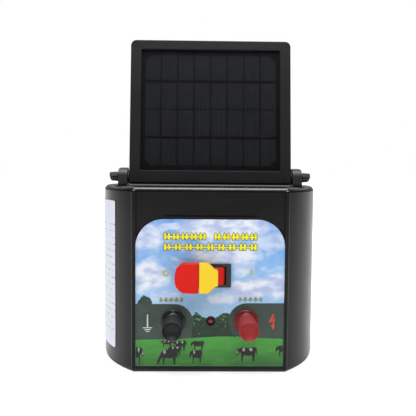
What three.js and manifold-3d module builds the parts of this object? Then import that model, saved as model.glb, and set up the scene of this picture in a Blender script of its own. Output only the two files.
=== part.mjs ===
// Solar fence energizer: a moulded case on a base plate, with a tilting solar panel on its top,
// a lever switch, an indicator lamp and two screw terminals on its front.
// Millimetres. +Z is up, the flat front faces -Y, and Z = 0 is the surface that the base stands on.
import * as THREE from 'three';
import { mergeVertices } from 'three/addons/utils/BufferGeometryUtils.js';
import Module from 'manifold-3d';

const wasm = await Module();
wasm.setup();

// ---- driving dimensions ----
const gap = 0.3;              // clearance between pieces that touch

const caseRadius = 108;       // round sides, in plan, about the origin
const frontDepth = 82;        // distance from the origin to the flat front and to the flat back
const caseTop = 171.3;
const caseRound = 5;          // rounding of the case's top edge
const wall = 2.8;
const plateThickness = 2.4;
const plateInset = 0.9;       // the base plate stands back from the case's sides
const seamY = 46;             // joint between the front shell and the rear cover

const ridgeX = 69.8;          // upright beads where the flat front meets the round sides
const ridgeRadius = 2.4;

const labelHalfWidth = 68.3;
const labelBottom = 5.5;
const labelTop = 141.7;
const labelCorner = 25.5;
const labelThickness = 0.5;
const padProud = 0.8;         // raised arch that frames the label
const padTop = 145.6;
const recessDepth = 0.6;      // label recess, measured from the flat front

const hingeY = -40;
const hingeZ = 179.7;
const panelLean = THREE.MathUtils.degToRad(7.4);
const panelHalfWidth = 78.4;
const panelThickness = 15;
const panelLength = 134;      // from the hinge axis to the panel's upper edge
const panelCorner = 5.5;
const windowHalfWidth = 67.7;
const windowBottom = 5.5;
const windowTop = 124.5;

const earInner = 80;
const earOuter = 88.8;
const earRadius = 8.7;
const earSoftness = 3;          // rounding of each ear's upper outer edge

const switchZ = 90.4;
const leverX = 5.5;           // pivot of the switch lever
const leverY = -82;
const leverRadius = 7.8;
const paddleFront = -99;
const paddleBack = -90.5;
const keySplit = -10.2;       // where the red key meets the yellow grip

const terminalX = 33.5;
const terminalZ = 47.4;
const lampX = 0.9;
const lampZ = 47.5;
const bezelRadius = 4.9;

const boardFront = -46;       // circuit board, upright behind the front wall
const boardThickness = 1.6;

const frontWallInside = -frontDepth + wall;
const caseBottom = plateThickness + gap;
const labelFront = -frontDepth + recessDepth - gap - labelThickness;

// ---- materials ----
function material(color, roughness, metalness = 0) {
  return new THREE.MeshStandardMaterial({ color, roughness, metalness });
}

// ---- solids ----
function toSolid(geometry) {
  geometry.deleteAttribute('normal');
  geometry.deleteAttribute('uv');
  const merged = mergeVertices(geometry, 1e-4);
  return new wasm.Manifold(new wasm.Mesh({
    numProp: 3,
    vertProperties: new Float32Array(merged.attributes.position.array),
    triVerts: new Uint32Array(merged.index.array),
  }));
}

function toGeometry(solid) {
  const mesh = solid.getMesh();
  const geometry = new THREE.BufferGeometry();
  geometry.setAttribute('position', new THREE.BufferAttribute(mesh.vertProperties, 3));
  geometry.setIndex(new THREE.BufferAttribute(mesh.triVerts, 1));
  geometry.computeVertexNormals();
  return geometry;
}

function box(x, y, z) {
  const geometry = new THREE.BoxGeometry(x[1] - x[0], y[1] - y[0], z[1] - z[0]);
  geometry.translate((x[0] + x[1]) / 2, (y[0] + y[1]) / 2, (z[0] + z[1]) / 2);
  return toSolid(geometry);
}

// A round bar along one axis. `span` is its start and end along that axis, `at` its place on the
// other two axes in X, Y, Z order, and `endRadius` its radius at the end of the span.
function bar(axis, radius, span, at, sides = 24, endRadius = radius) {
  const length = span[1] - span[0];
  const geometry = new THREE.CylinderGeometry(endRadius, radius, length, sides);
  const middle = (span[0] + span[1]) / 2;
  if (axis === 'x') {
    geometry.rotateZ(-Math.PI / 2);
    geometry.translate(middle, at[0], at[1]);
  } else if (axis === 'y') {
    geometry.translate(at[0], middle, at[1]);
  } else {
    geometry.rotateX(Math.PI / 2);
    geometry.translate(at[0], at[1], middle);
  }
  return toSolid(geometry);
}

// An outline drawn in X and Y, raised from z[0] to z[1].
function upright(shape, z, curveSegments = 12) {
  const depth = z[1] - z[0];
  const geometry = new THREE.ExtrudeGeometry(shape, { depth, bevelEnabled: false, curveSegments });
  geometry.translate(0, 0, z[0]);
  return toSolid(geometry);
}

// An outline drawn in X and Z, running from y[0] to y[1].
function frontal(shape, y, curveSegments = 8) {
  const depth = y[1] - y[0];
  const geometry = new THREE.ExtrudeGeometry(shape, { depth, bevelEnabled: false, curveSegments });
  geometry.rotateX(Math.PI / 2);
  geometry.translate(0, y[1], 0);
  return toSolid(geometry);
}

// An outline drawn in Y and Z, running from x[0] to x[1].
function sideways(shape, x, curveSegments = 12) {
  const depth = x[1] - x[0];
  const geometry = new THREE.ExtrudeGeometry(shape, { depth, bevelEnabled: false, curveSegments });
  geometry.rotateX(Math.PI / 2);
  geometry.rotateZ(Math.PI / 2);
  geometry.translate(x[0], 0, 0);
  return toSolid(geometry);
}

// A turned piece about an axis along Y; each profile point is [radius, y].
function turned(profile, at, sides = 32) {
  const points = profile.map(([radius, y]) => new THREE.Vector2(radius, y));
  if (THREE.ShapeUtils.area(points) < 0) {
    points.reverse();
  }
  const geometry = new THREE.LatheGeometry(points, sides);
  geometry.translate(at[0], 0, at[1]);
  return toSolid(geometry);
}

// A round lead through the given points.
function lead(points, radius, steps) {
  const path = new THREE.CatmullRomCurve3(points.map((point) => new THREE.Vector3(...point)));
  const section = new THREE.Shape();
  section.absarc(0, 0, radius, 0, 2 * Math.PI);
  return toSolid(new THREE.ExtrudeGeometry(section, { steps, extrudePath: path, curveSegments: 4 }));
}

function roundedBox(halfWidth, low, high, corner) {
  const shape = new THREE.Shape();
  shape.moveTo(-halfWidth + corner, low);
  shape.lineTo(halfWidth - corner, low);
  shape.absarc(halfWidth - corner, low + corner, corner, -Math.PI / 2, 0);
  shape.absarc(halfWidth - corner, high - corner, corner, 0, Math.PI / 2);
  shape.absarc(-halfWidth + corner, high - corner, corner, Math.PI / 2, Math.PI);
  shape.absarc(-halfWidth + corner, low + corner, corner, Math.PI, 1.5 * Math.PI);
  return shape;
}

// Straight sides and foot, with round upper corners.
function arch(halfWidth, low, high, corner) {
  const shape = new THREE.Shape();
  shape.moveTo(-halfWidth, low);
  shape.lineTo(halfWidth, low);
  shape.absarc(halfWidth - corner, high - corner, corner, 0, Math.PI / 2);
  shape.absarc(-halfWidth + corner, high - corner, corner, Math.PI / 2, Math.PI);
  return shape;
}

// ---- assembly ----
const group = new THREE.Group();

function addPart(name, solid, partMaterial, parent = group) {
  const mesh = new THREE.Mesh(toGeometry(solid), partMaterial);
  mesh.name = name;
  parent.add(mesh);
}

// ---- case ----
function caseOutline(inset) {
  const radius = caseRadius - inset;
  const depth = frontDepth - inset;
  const corner = Math.asin(depth / radius);
  const shape = new THREE.Shape();
  shape.absarc(0, 0, radius, -corner, corner);
  shape.absarc(0, 0, radius, Math.PI - corner, Math.PI + corner);
  return shape;
}

function roundedCase(inset, top, round) {
  const foot = 20;
  const depth = top - round - foot;
  const geometry = new THREE.ExtrudeGeometry(caseOutline(inset), {
    depth,
    bevelThickness: round,
    bevelSize: round,
    bevelOffset: -round,
    bevelSegments: 4,
    curveSegments: 20,
  });
  geometry.translate(0, 0, foot);
  const body = toSolid(geometry);
  return body.add(upright(caseOutline(inset), [-1, foot], 20));
}

const everywhere = [-200, 200];
const shellOuter = roundedCase(0, caseTop, caseRound);
const shellInner = roundedCase(wall, caseTop - wall, caseRound - wall / 2);
const aboveBase = box(everywhere, everywhere, [caseBottom, 200]);

const baseScrewPlaces = [[-91, -38], [91, -38], [-91, 38], [91, 38]];
const caseScrewPlaces = [[-89, 27], [89, 27], [-89, 148], [89, 148]];
const baseBossRadius = 7.5;
const caseBossRadius = 7;
const basePadTop = 8;
const screwRadius = 1.6;
const screwBore = screwRadius + gap;

function earSolid(side) {
  const shape = new THREE.Shape();
  shape.moveTo(hingeY - earRadius - 1.2, caseTop - 1);
  shape.lineTo(hingeY + earRadius + 1.2, caseTop - 1);
  shape.absarc(hingeY, hingeZ, earRadius, 0, Math.PI);
  const span = side > 0 ? [earInner, earOuter] : [-earOuter, -earInner];
  const top = hingeZ + earRadius;
  const front = new THREE.Shape();
  front.moveTo(side * earInner, caseTop - 2);
  front.lineTo(side * earOuter, caseTop - 2);
  front.lineTo(side * earOuter, top - earSoftness);
  front.quadraticCurveTo(side * earOuter, top, side * (earOuter - earSoftness), top);
  front.lineTo(side * earInner, top);
  const ear = sideways(shape, span, 12).intersect(frontal(front, [-100, 100], 5));
  return ear.subtract(bar('x', 2.6, everywhere, [hingeY, hingeZ]));
}

function ridgeSolid(side) {
  const at = [side * ridgeX, -frontDepth + 0.4];
  const crown = caseTop - caseRound;
  const cap = new THREE.SphereGeometry(ridgeRadius, 16, 8);
  cap.rotateX(Math.PI / 2);
  cap.translate(at[0], at[1], crown);
  return bar('z', ridgeRadius, [caseBottom, crown], at, 16).add(toSolid(cap));
}

function frontOpenings() {
  const depth = [-frontDepth - 5, frontWallInside + 5];
  const switchHole = box([-17, 17], depth, [switchZ - 10.2, switchZ + 10.2]);
  return switchHole
    .add(bar('y', 5.2, depth, [-terminalX, terminalZ]))
    .add(bar('y', 5.2, depth, [terminalX, terminalZ]))
    .add(bar('y', bezelRadius + gap, depth, [lampX, lampZ]));
}

function housingFront() {
  const pad = frontal(arch(ridgeX - 0.2, caseBottom, padTop, labelCorner + 3.9),
    [-frontDepth - padProud, -frontDepth + 1]);
  const recess = frontal(arch(labelHalfWidth + 0.3, labelBottom - 0.3, labelTop + 0.3, labelCorner),
    [-frontDepth - 5, -frontDepth + recessDepth]);
  let shell = shellOuter.subtract(shellInner).intersect(aboveBase);
  shell = shell.intersect(box(everywhere, [-200, seamY - 0.9], everywhere));
  for (const side of [-1, 1]) {
    shell = shell.add(earSolid(side)).add(ridgeSolid(side));
  }
  shell = shell.add(pad).subtract(recess).subtract(frontOpenings());
  for (const at of baseScrewPlaces) {
    const boss = bar('z', baseBossRadius, [basePadTop + gap, 30], at).intersect(shellOuter);
    shell = shell.add(boss).subtract(bar('z', screwBore, [0, 21], at, 12));
  }
  for (const at of caseScrewPlaces) {
    const boss = bar('y', caseBossRadius, [18, seamY - 0.9], at).intersect(shellOuter);
    shell = shell.add(boss).subtract(bar('y', screwBore, [24, 60], at, 12));
  }
  for (const x of [-50, 50]) {
    for (const z of [22, 116]) {
      shell = shell.add(bar('y', 3, [frontWallInside - 1, boardFront - gap], [x, z], 12));
    }
  }
  return shell;
}

const keyholeX = 40;
const keyholeZ = 120;
const grommetAt = [30, 140];

function housingRear() {
  let shell = shellOuter.subtract(shellInner).intersect(aboveBase);
  shell = shell.intersect(box(everywhere, [seamY + 0.9, 200], everywhere));
  for (const at of caseScrewPlaces) {
    const boss = bar('y', caseBossRadius, [seamY + 0.9, 70], at).intersect(shellOuter);
    shell = shell.add(boss);
    shell = shell.subtract(bar('y', screwBore, [20, 60], at, 12)).subtract(bar('y', 4, [51, 80], at));
  }
  for (const side of [-1, 1]) {
    const head = bar('y', 5.5, [60, 100], [side * keyholeX, keyholeZ]);
    const neck = box([side * keyholeX - 2.6, side * keyholeX + 2.6], [60, 100], [keyholeZ, keyholeZ + 12]);
    shell = shell.subtract(head).subtract(neck);
  }
  return shell.subtract(bar('y', 5.3, [60, 100], grommetAt));
}

function seamGasket() {
  const slab = box(everywhere, [seamY - 0.6, seamY + 0.6], everywhere);
  const skin = roundedCase(0.6, caseTop - 0.6, caseRound - 0.6).subtract(shellInner);
  return skin.intersect(aboveBase).intersect(slab);
}

function basePlate() {
  let plate = upright(caseOutline(plateInset), [0, plateThickness], 20);
  for (const at of baseScrewPlaces) {
    plate = plate.add(bar('z', 5.5, [1, basePadTop], at));
    plate = plate.subtract(bar('z', screwBore, [-1, 20], at, 12)).subtract(bar('z', 3.9, [-1, 3.6], at));
  }
  return plate;
}

function baseScrew(at) {
  return bar('z', 3.5, [0.8, 3.3], at).add(bar('z', screwRadius, [3, 19], at, 12));
}

function caseScrew(at) {
  return bar('y', 3.6, [51.3, 54], at).add(bar('y', screwRadius, [28, 52], at, 12));
}

function cableGrommet() {
  const inside = frontDepth - wall;
  const profile = [
    [2.2, inside - 3], [7.5, inside - 3], [7.5, inside - gap], [5, inside - gap], [5, frontDepth + gap],
    [7.5, frontDepth + gap], [7.5, frontDepth + 2], [5, frontDepth + 4], [2.2, frontDepth + 4],
    [2.2, inside - 3],
  ];
  return turned(profile, grommetAt, 24);
}

const casePlastic = material(0x1c1c1e, 0.3);
const steel = material(0xb4b6b8, 0.35, 1);
const brass = material(0xb8924a, 0.35, 1);
const blackRubber = material(0x141414, 0.8);

addPart('housing_front', housingFront(), casePlastic);
addPart('housing_rear', housingRear(), material(0x1c1c1e, 0.32));
addPart('seam_gasket', seamGasket(), blackRubber);
addPart('base_plate', basePlate(), material(0x161617, 0.5));
addPart('cable_grommet', cableGrommet(), material(0x161616, 0.75));
baseScrewPlaces.forEach((at, index) => addPart(`base_screw_${index + 1}`, baseScrew(at), steel));
caseScrewPlaces.forEach((at, index) => addPart(`case_screw_${index + 1}`, caseScrew(at), steel));

// ---- label and sticker ----
function frontLabel() {
  const outline = arch(labelHalfWidth, labelBottom, labelTop, labelCorner);
  const sheet = frontal(outline, [labelFront, labelFront + labelThickness], 12);
  return sheet.subtract(frontOpenings());
}

// A thin sheet bent round the case's left side, from `front` to `back` degrees off the front.
function sideSticker(front, back, z) {
  const inner = caseRadius + gap;
  const outer = inner + 0.3;
  const from = THREE.MathUtils.degToRad(270 - back);
  const to = THREE.MathUtils.degToRad(270 - front);
  const shape = new THREE.Shape();
  shape.absarc(0, 0, outer, from, to);
  shape.absarc(0, 0, inner, to, from, true);
  return upright(shape, z, 14);
}

addPart('front_label', frontLabel(), material(0x8fb3e6, 0.45));
addPart('side_sticker', sideSticker(56, 112, [15.5, 157]), material(0xe8eaf2, 0.5));

// ---- switch ----
const cavityHalf = 8.3;
const pinHalf = 9.5;
const bladeXs = [-9, 9];

function switchHousing() {
  const body = box([-16.6, 16.6], [labelFront - gap, -60], [switchZ - 9.9, switchZ + 9.9]);
  const flangeShape = roundedBox(19, switchZ - 10.8, switchZ + 10.8, 0.8);
  const flange = frontal(flangeShape, [labelFront - gap - 2, labelFront - gap], 2);
  const cavity = box([-3, 14.5], [-90, -73.6], [switchZ - cavityHalf, switchZ + cavityHalf]);
  const pinHole = bar('z', 1.5, [switchZ - pinHalf - 0.2, switchZ + pinHalf + 0.2], [leverX, leverY], 16);
  let housing = body.add(flange).subtract(cavity).subtract(pinHole);
  for (const x of bladeXs) {
    housing = housing.subtract(box([x - 0.7, x + 0.7], [-68, -50], [switchZ - 3.5, switchZ + 3.5]));
  }
  return housing;
}

function switchBlade(x) {
  return box([x - 0.4, x + 0.4], [-67.5, -50], [switchZ - 3.15, switchZ + 3.15]);
}

const armHalf = 6;
const tongueHalf = 4;
const armSpanY = [-94.5, -86.6];
const tongueTip = -25;

function switchLever() {
  const root = bar('z', leverRadius, [switchZ - 7.8, switchZ + 7.8], [leverX, leverY], 32);
  const arm = box([keySplit + 2, leverX + 1], armSpanY, [switchZ - armHalf, switchZ + armHalf]);
  const tongue = box([tongueTip, 0], [armSpanY[0], -91.8], [switchZ - tongueHalf, switchZ + tongueHalf]);
  const bore = bar('z', 1.5, [0, 200], [leverX, leverY], 16);
  return root.add(arm).add(tongue).subtract(bore);
}

// The lever's arm and tongue with clearance all round, cut out of the pieces that slide over them.
function armSpace() {
  const arm = box([keySplit + 2 - gap, leverX + 10], [armSpanY[0] - gap, -80],
    [switchZ - armHalf - gap, switchZ + armHalf + gap]);
  const tongue = box([tongueTip - gap, 0], [armSpanY[0] - gap, -91.8 + gap],
    [switchZ - tongueHalf - gap, switchZ + tongueHalf + gap]);
  const root = bar('z', leverRadius + gap, [0, 200], [leverX, leverY], 32);
  return arm.add(tongue).add(root);
}

const paddleHalf = 13.6;
const paddleShoulder = -2.2;
const neckX = 4.4;
const neckHalf = 7.2;
const neckEnd = 6.7;

function switchGrip() {
  const shape = new THREE.Shape();
  shape.moveTo(keySplit, switchZ - paddleHalf);
  shape.lineTo(paddleShoulder - 2, switchZ - paddleHalf);
  const slopeX = paddleShoulder + 1.6;
  const slopeHalf = paddleHalf - 1.8;
  shape.quadraticCurveTo(paddleShoulder, switchZ - paddleHalf, slopeX, switchZ - slopeHalf);
  shape.lineTo(neckX, switchZ - neckHalf);
  shape.lineTo(neckEnd, switchZ - neckHalf);
  shape.lineTo(neckEnd, switchZ + neckHalf);
  shape.lineTo(neckX, switchZ + neckHalf);
  shape.lineTo(slopeX, switchZ + slopeHalf);
  shape.quadraticCurveTo(paddleShoulder, switchZ + paddleHalf, paddleShoulder - 2, switchZ + paddleHalf);
  shape.lineTo(keySplit, switchZ + paddleHalf);
  return frontal(shape, [paddleFront, paddleBack], 4).subtract(armSpace());
}

const keyTip = -32.1;
const keyStepX = -29;
const keyStepHalf = 9.8;

function safetyKey() {
  const start = keySplit - gap;
  const shape = new THREE.Shape();
  shape.moveTo(start, switchZ + paddleHalf);
  shape.lineTo(start - 11, switchZ + paddleHalf);
  shape.quadraticCurveTo(keyStepX + 2, switchZ + paddleHalf, keyStepX, switchZ + keyStepHalf);
  shape.lineTo(keyTip + 1.3, switchZ + keyStepHalf - 2);
  shape.quadraticCurveTo(keyTip - 1.3, switchZ, keyTip + 1.3, switchZ - keyStepHalf + 2);
  shape.lineTo(keyStepX, switchZ - keyStepHalf);
  shape.quadraticCurveTo(keyStepX + 2, switchZ - paddleHalf, start - 11, switchZ - paddleHalf);
  shape.lineTo(start, switchZ - paddleHalf);
  return frontal(shape, [paddleFront, paddleBack], 5).subtract(armSpace());
}

function switchPin() {
  return bar('z', 1.2, [switchZ - pinHalf, switchZ + pinHalf], [leverX, leverY], 16);
}

const redPlastic = material(0xd8352c, 0.4);
addPart('switch_housing', switchHousing(), material(0x232325, 0.5));
bladeXs.forEach((x, index) => addPart(`switch_blade_${index + 1}`, switchBlade(x), brass));
addPart('switch_pin', switchPin(), steel);
addPart('switch_lever', switchLever(), redPlastic);
addPart('switch_grip', switchGrip(), material(0xfbe03a, 0.4));
addPart('safety_key', safetyKey(), material(0xd9362d, 0.4));

// ---- indicator lamp ----
function lampBezel() {
  const profile = [
    [3.75, -79.6], [bezelRadius, -79.6], [bezelRadius, labelFront - 0.2], [3.75, labelFront - 0.2],
    [3.75, -79.6],
  ];
  return turned(profile, [lampX, lampZ], 24);
}

function lampLens() {
  const profile = [[0, -70], [3.4, -70], [3.4, -80], [2.6, -80.9], [1.4, -81.3], [0, -81.4]];
  return turned(profile, [lampX, lampZ], 24);
}

addPart('lamp_bezel', lampBezel(), material(0x101012, 0.45));
addPart('lamp_lens', lampLens(), material(0x7d1f24, 0.15));

// ---- terminals ----
const studRadius = 3;
const studBore = studRadius + gap;
const collarFace = -90;
const knobFace = -115;
const knobRadius = 8.6;

function collar(x) {
  const seat = labelFront - gap;
  const profile = [
    [studBore, frontWallInside - 0.3], [4.9, frontWallInside - 0.3], [4.9, seat], [11.4, seat],
    [11.4, seat - 2.2], [10.6, seat - 3.4], [9.2, collarFace], [studBore, collarFace],
    [studBore, frontWallInside - 0.3],
  ];
  return turned(profile, [x, terminalZ], 32);
}

function knob(x) {
  const back = collarFace - gap;
  const dish = new THREE.SphereGeometry(14, 32, 20);
  dish.rotateX(Math.PI / 2);
  dish.translate(x, knobFace - 14 + 3, terminalZ);
  const profile = [
    [0, knobFace], [knobRadius - 0.6, knobFace], [knobRadius, knobFace + 0.6], [knobRadius, back], [0, back],
  ];
  const body = turned(profile, [x, terminalZ], 32);
  return body.subtract(toSolid(dish)).subtract(bar('y', studBore, [-103, 0], [x, terminalZ]));
}

function stud(x) {
  return bar('y', studRadius, [-102.5, -68], [x, terminalZ], 20);
}

function studWasher(x) {
  const ring = bar('y', 6.5, [frontWallInside + gap, frontWallInside + 1.3], [x, terminalZ]);
  return ring.subtract(bar('y', studBore, everywhere, [x, terminalZ], 20));
}

function studNut(x) {
  const start = frontWallInside + 1.3 + gap;
  const bore = bar('y', studBore, everywhere, [x, terminalZ], 20);
  return bar('y', 5.8, [start, start + 4], [x, terminalZ], 6).subtract(bore);
}

for (const [name, x, color] of [['earth', -terminalX, 0x262629], ['fence', terminalX, 0xb23a3c]]) {
  addPart(`${name}_collar`, collar(x), material(color, 0.35));
  addPart(`${name}_stud`, stud(x), steel);
  addPart(`${name}_washer`, studWasher(x), steel);
  addPart(`${name}_nut`, studNut(x), brass);
  addPart(`${name}_knob`, knob(x), material(color, 0.55));
}

// ---- circuit board and what it carries ----
const boardBack = boardFront + boardThickness;

function inverterTransformer() {
  const core = box([-14, 8], [boardBack + gap, boardBack + 16], [84, 102]);
  return core.add(box([-10, 4], [boardBack + gap, boardBack + 13], [80, 106]));
}

function thyristor() {
  const body = box([14, 24], [boardBack + gap, boardBack + 4.8], [90, 105]);
  const tab = box([14, 24], [boardBack + gap, boardBack + 1.6], [104, 112]);
  return body.add(tab).subtract(bar('y', 1.7, everywhere, [19, 108.5], 12));
}

function fuse() {
  const glass = bar('x', 2.4, [-8, 8], [boardBack + 4, 112], 16);
  const cap = bar('x', 2.7, [-10, -5], [boardBack + 4, 112], 16);
  return glass.add(cap).add(cap.mirror([1, 0, 0]));
}

function pulseCore(x, y) {
  const block = box([x - 22, x + 22], [y - 16, y + 16], [caseBottom, caseBottom + 40]);
  const window = box([x - 15, x + 15], everywhere, [caseBottom + 7, caseBottom + 33]);
  return block.subtract(window).add(box([x - 6, x + 6], [y - 16, y + 16], [caseBottom + 6, caseBottom + 34]));
}

function pulseCoil(x, y) {
  const outer = box([x - 14.6, x + 14.6], [y - 24, y + 24], [caseBottom + 7.4, caseBottom + 32.6]);
  return outer.subtract(box([x - 6.4, x + 6.4], [y - 16.4, y + 16.4], [0, 100]));
}

function capacitor(x, y) {
  return bar('z', 12, [caseBottom, caseBottom + 46], [x, y], 32)
    .add(bar('z', 3, [caseBottom + 45, caseBottom + 50], [x, y], 12));
}

// ---- battery ----
const batteryX = [-35, 35];
const batteryY = [-8, 39];
const batteryTop = caseBottom + 100;
const tabX = 25;
const tabY = 30;

function battery() {
  return box(batteryX, batteryY, [caseBottom, batteryTop - 4])
    .add(box([batteryX[0] + 3, batteryX[1] - 3], [batteryY[0] + 2, batteryY[1] - 2],
      [batteryTop - 5, batteryTop]));
}

function batteryTab(x) {
  return box([x - 0.4, x + 0.4], [tabY - 3, tabY + 3], [batteryTop + gap, batteryTop + 8]);
}

// A strap over the battery, with a foot on the base plate at each side.
function batteryStrap() {
  const inner = batteryX[1] + gap;
  const outer = inner + 1.5;
  const top = batteryTop + gap;
  const y = [8, 20];
  const hoop = box([-outer, outer], y, [caseBottom, top + 1.5]).subtract(box([-inner, inner], y, [0, top]));
  return hoop
    .add(box([-outer - 9, -outer], y, [caseBottom, caseBottom + 1.5]))
    .add(box([outer, outer + 9], y, [caseBottom, caseBottom + 1.5]));
}

function terminalLead(x) {
  const end = -68 + gap;
  return lead([[x, end, terminalZ], [x, end + 6, terminalZ - 1], [x * 0.9, end + 13, terminalZ - 8],
    [x * 0.85, boardFront - 6, terminalZ - 14], [x * 0.85, boardFront - 0.8, terminalZ - 14]], 1.3, 14);
}

function batteryLead(side) {
  const start = batteryTop + 8 + gap;
  return lead([
    [side * tabX, tabY, start], [side * tabX, tabY - 3, start + 9], [side * tabX, tabY - 24, start + 14],
    [side * 30, -22, start + 2], [side * 32, boardBack + 8, 76], [side * 32, boardBack + 0.8, 74],
  ], 1.2, 20);
}

addPart('circuit_board', box([-55, 55], [boardFront, boardBack], [14, 124]), material(0x1f5a34, 0.5));
addPart('inverter_transformer', inverterTransformer(), material(0x3a3532, 0.6));
addPart('thyristor', thyristor(), material(0x222222, 0.5));
addPart('fuse', fuse(), material(0xc9ccd0, 0.2, 0.6));
addPart('pulse_core', pulseCore(-64, -8), material(0x4a4d50, 0.5, 0.6));
addPart('pulse_coil', pulseCoil(-64, -8), material(0x8c4a22, 0.5));
addPart('storage_capacitor', capacitor(62, -6), material(0x21406e, 0.4));
addPart('battery', battery(), material(0x2c2e33, 0.6));
addPart('battery_tab_1', batteryTab(-tabX), brass);
addPart('battery_tab_2', batteryTab(tabX), brass);
addPart('battery_strap', batteryStrap(), steel);
addPart('battery_lead_black', batteryLead(-1), material(0x1a1a1a, 0.6));
addPart('battery_lead_red', batteryLead(1), material(0xb3241f, 0.6));
addPart('earth_lead', terminalLead(-terminalX), material(0x2a7a3c, 0.6));
addPart('fence_lead', terminalLead(terminalX), material(0xb3241f, 0.6));

// ---- panel, drawn upright about the hinge axis and then leaned back ----
const panel = new THREE.Group();
panel.position.set(0, hingeY, hingeZ);
panel.rotation.x = -panelLean;
group.add(panel);

const halfThickness = panelThickness / 2;
const rimDepth = 0.9;           // the glass lies this far behind the frame's face
const bayHalfWidth = windowHalfWidth + 4;
const bayBottom = windowBottom - 0.5;
const bayTop = windowTop + 5;
const glassFront = -halfThickness + rimDepth + gap;
const glassThickness = 1.6;
const backThickness = 2.4;
const insertRadius = 4;
const insertDepth = 14;
const threadRadius = 2.3;
const threadBore = threadRadius + gap;
const glandZ = 126;
const glandStem = 1.9;
const glandFlange = 2.9;
const glandBore = 1;
const wingTilt = 76;            // degrees that the wings are turned about the screw's axis

const cellColumns = 8;
const cellRows = 4;
const cellThickness = 1;
const cellRaise = 0.3;
const cellPitchX = 15.6;
const cellPitchZ = 27.6;
const cellWidth = 14.9;
const cellHeight = 26.4;
const cellMiddle = (windowBottom + windowTop) / 2;

// Seen from the side: the lower edge is round at the back, so that the panel can fold down flat
// without touching the case.
function panelProfile() {
  const edge = 2;
  const shape = new THREE.Shape();
  shape.moveTo(halfThickness, panelLength);
  shape.lineTo(-halfThickness, panelLength);
  shape.absarc(-halfThickness + edge, -halfThickness + edge, edge, Math.PI, 1.5 * Math.PI);
  shape.absarc(0, 0, halfThickness, 1.5 * Math.PI, 2 * Math.PI);
  return shape;
}

function panelFrame() {
  const face = frontal(arch(panelHalfWidth, -20, panelLength, panelCorner), [-20, 20]);
  const window = frontal(roundedBox(windowHalfWidth, windowBottom, windowTop, 1), [-20, 0], 2);
  const bay = frontal(roundedBox(bayHalfWidth, bayBottom, bayTop, 1), [-halfThickness + rimDepth, 20], 2);
  let frame = sideways(panelProfile(), [-panelHalfWidth, panelHalfWidth], 12).intersect(face);
  frame = frame.subtract(window).subtract(bay);
  for (const side of [-1, 1]) {
    const ends = [side * (panelHalfWidth - insertDepth - gap), side * 100].sort((a, b) => a - b);
    frame = frame.subtract(bar('x', insertRadius + gap, ends, [0, 0]));
  }
  return frame;
}

function panelBack() {
  const shape = roundedBox(bayHalfWidth - gap, bayBottom + gap, bayTop - gap, 1);
  const cover = frontal(shape, [halfThickness - backThickness, halfThickness], 2);
  return cover.subtract(bar('y', glandStem + gap, everywhere, [0, glandZ]));
}

function panelGlass() {
  const shape = roundedBox(bayHalfWidth - gap, bayBottom + gap, bayTop - gap, 1);
  return frontal(shape, [glassFront, glassFront + glassThickness], 2);
}

// A backing sheet that carries the rows of cells.
function panelCells() {
  const start = glassFront + glassThickness + gap + cellRaise;
  const shape = roundedBox(bayHalfWidth - gap, bayBottom + gap, bayTop - gap, 1);
  let sheet = frontal(shape, [start, start + cellThickness], 2);
  for (let row = 0; row < cellRows; row += 1) {
    for (let column = 0; column < cellColumns; column += 1) {
      const x = (column - (cellColumns - 1) / 2) * cellPitchX;
      const z = cellMiddle + (row - (cellRows - 1) / 2) * cellPitchZ;
      sheet = sheet.add(box([x - cellWidth / 2, x + cellWidth / 2], [start - cellRaise, start + 0.2],
        [z - cellHeight / 2, z + cellHeight / 2]));
    }
  }
  return sheet;
}

function panelGland() {
  const inside = halfThickness - backThickness - 3;
  const seat = halfThickness + gap;
  const profile = [
    [glandBore, inside], [glandStem, inside], [glandStem, seat], [glandFlange, seat],
    [glandFlange, seat + 2], [glandStem, seat + 6.5], [glandBore, seat + 6.5], [glandBore, inside],
  ];
  return turned(profile, [0, glandZ], 20);
}

function hingeInsert(side) {
  const ends = [side * (panelHalfWidth - insertDepth), side * panelHalfWidth].sort((a, b) => a - b);
  return bar('x', insertRadius, ends, [0, 0]).subtract(bar('x', threadBore, everywhere, [0, 0], 20));
}

// A hub with two short wings and a shank that reaches through the ear into the panel's insert.
function thumbscrew(side) {
  const start = earOuter + gap;
  const end = start + 8.3;
  const hub = bar('x', 4.2, [start, end], [0, 0], 24, 3.1);
  const wing = new THREE.Shape();
  wing.moveTo(start, -8);
  wing.lineTo(end - 1.5, -6.6);
  wing.quadraticCurveTo(end, -6.2, end, -4.8);
  wing.lineTo(end, 4.8);
  wing.quadraticCurveTo(end, 6.2, end - 1.5, 6.6);
  wing.lineTo(start, 8);
  const wings = upright(wing, [-2.3, 2.3], 5).rotate([wingTilt, 0, 0]);
  const shank = bar('x', threadRadius, [panelHalfWidth - 11, start + 1], [0, 0], 20);
  const screw = hub.add(wings).add(shank);
  return side > 0 ? screw : screw.mirror([1, 0, 0]);
}

function frictionWasher(side) {
  const ends = [side * (panelHalfWidth + gap), side * (earInner - gap)].sort((a, b) => a - b);
  return bar('x', 6, ends, [0, 0]).subtract(bar('x', threadBore, everywhere, [0, 0], 20));
}

addPart('panel_frame', panelFrame(), material(0x35363a, 0.6), panel);
addPart('panel_back', panelBack(), material(0x2b2b2e, 0.6), panel);
addPart('panel_glass', panelGlass(), material(0x1c1e22, 0.08), panel);
addPart('panel_cells', panelCells(), material(0x24262b, 0.35), panel);
addPart('panel_gland', panelGland(), material(0x161616, 0.6), panel);
for (const [name, side] of [['left', -1], ['right', 1]]) {
  addPart(`hinge_insert_${name}`, hingeInsert(side), brass, panel);
  addPart(`thumbscrew_${name}`, thumbscrew(side), material(0x242427, 0.45), panel);
  addPart(`friction_washer_${name}`, frictionWasher(side), blackRubber, panel);
}

export default group;
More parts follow.
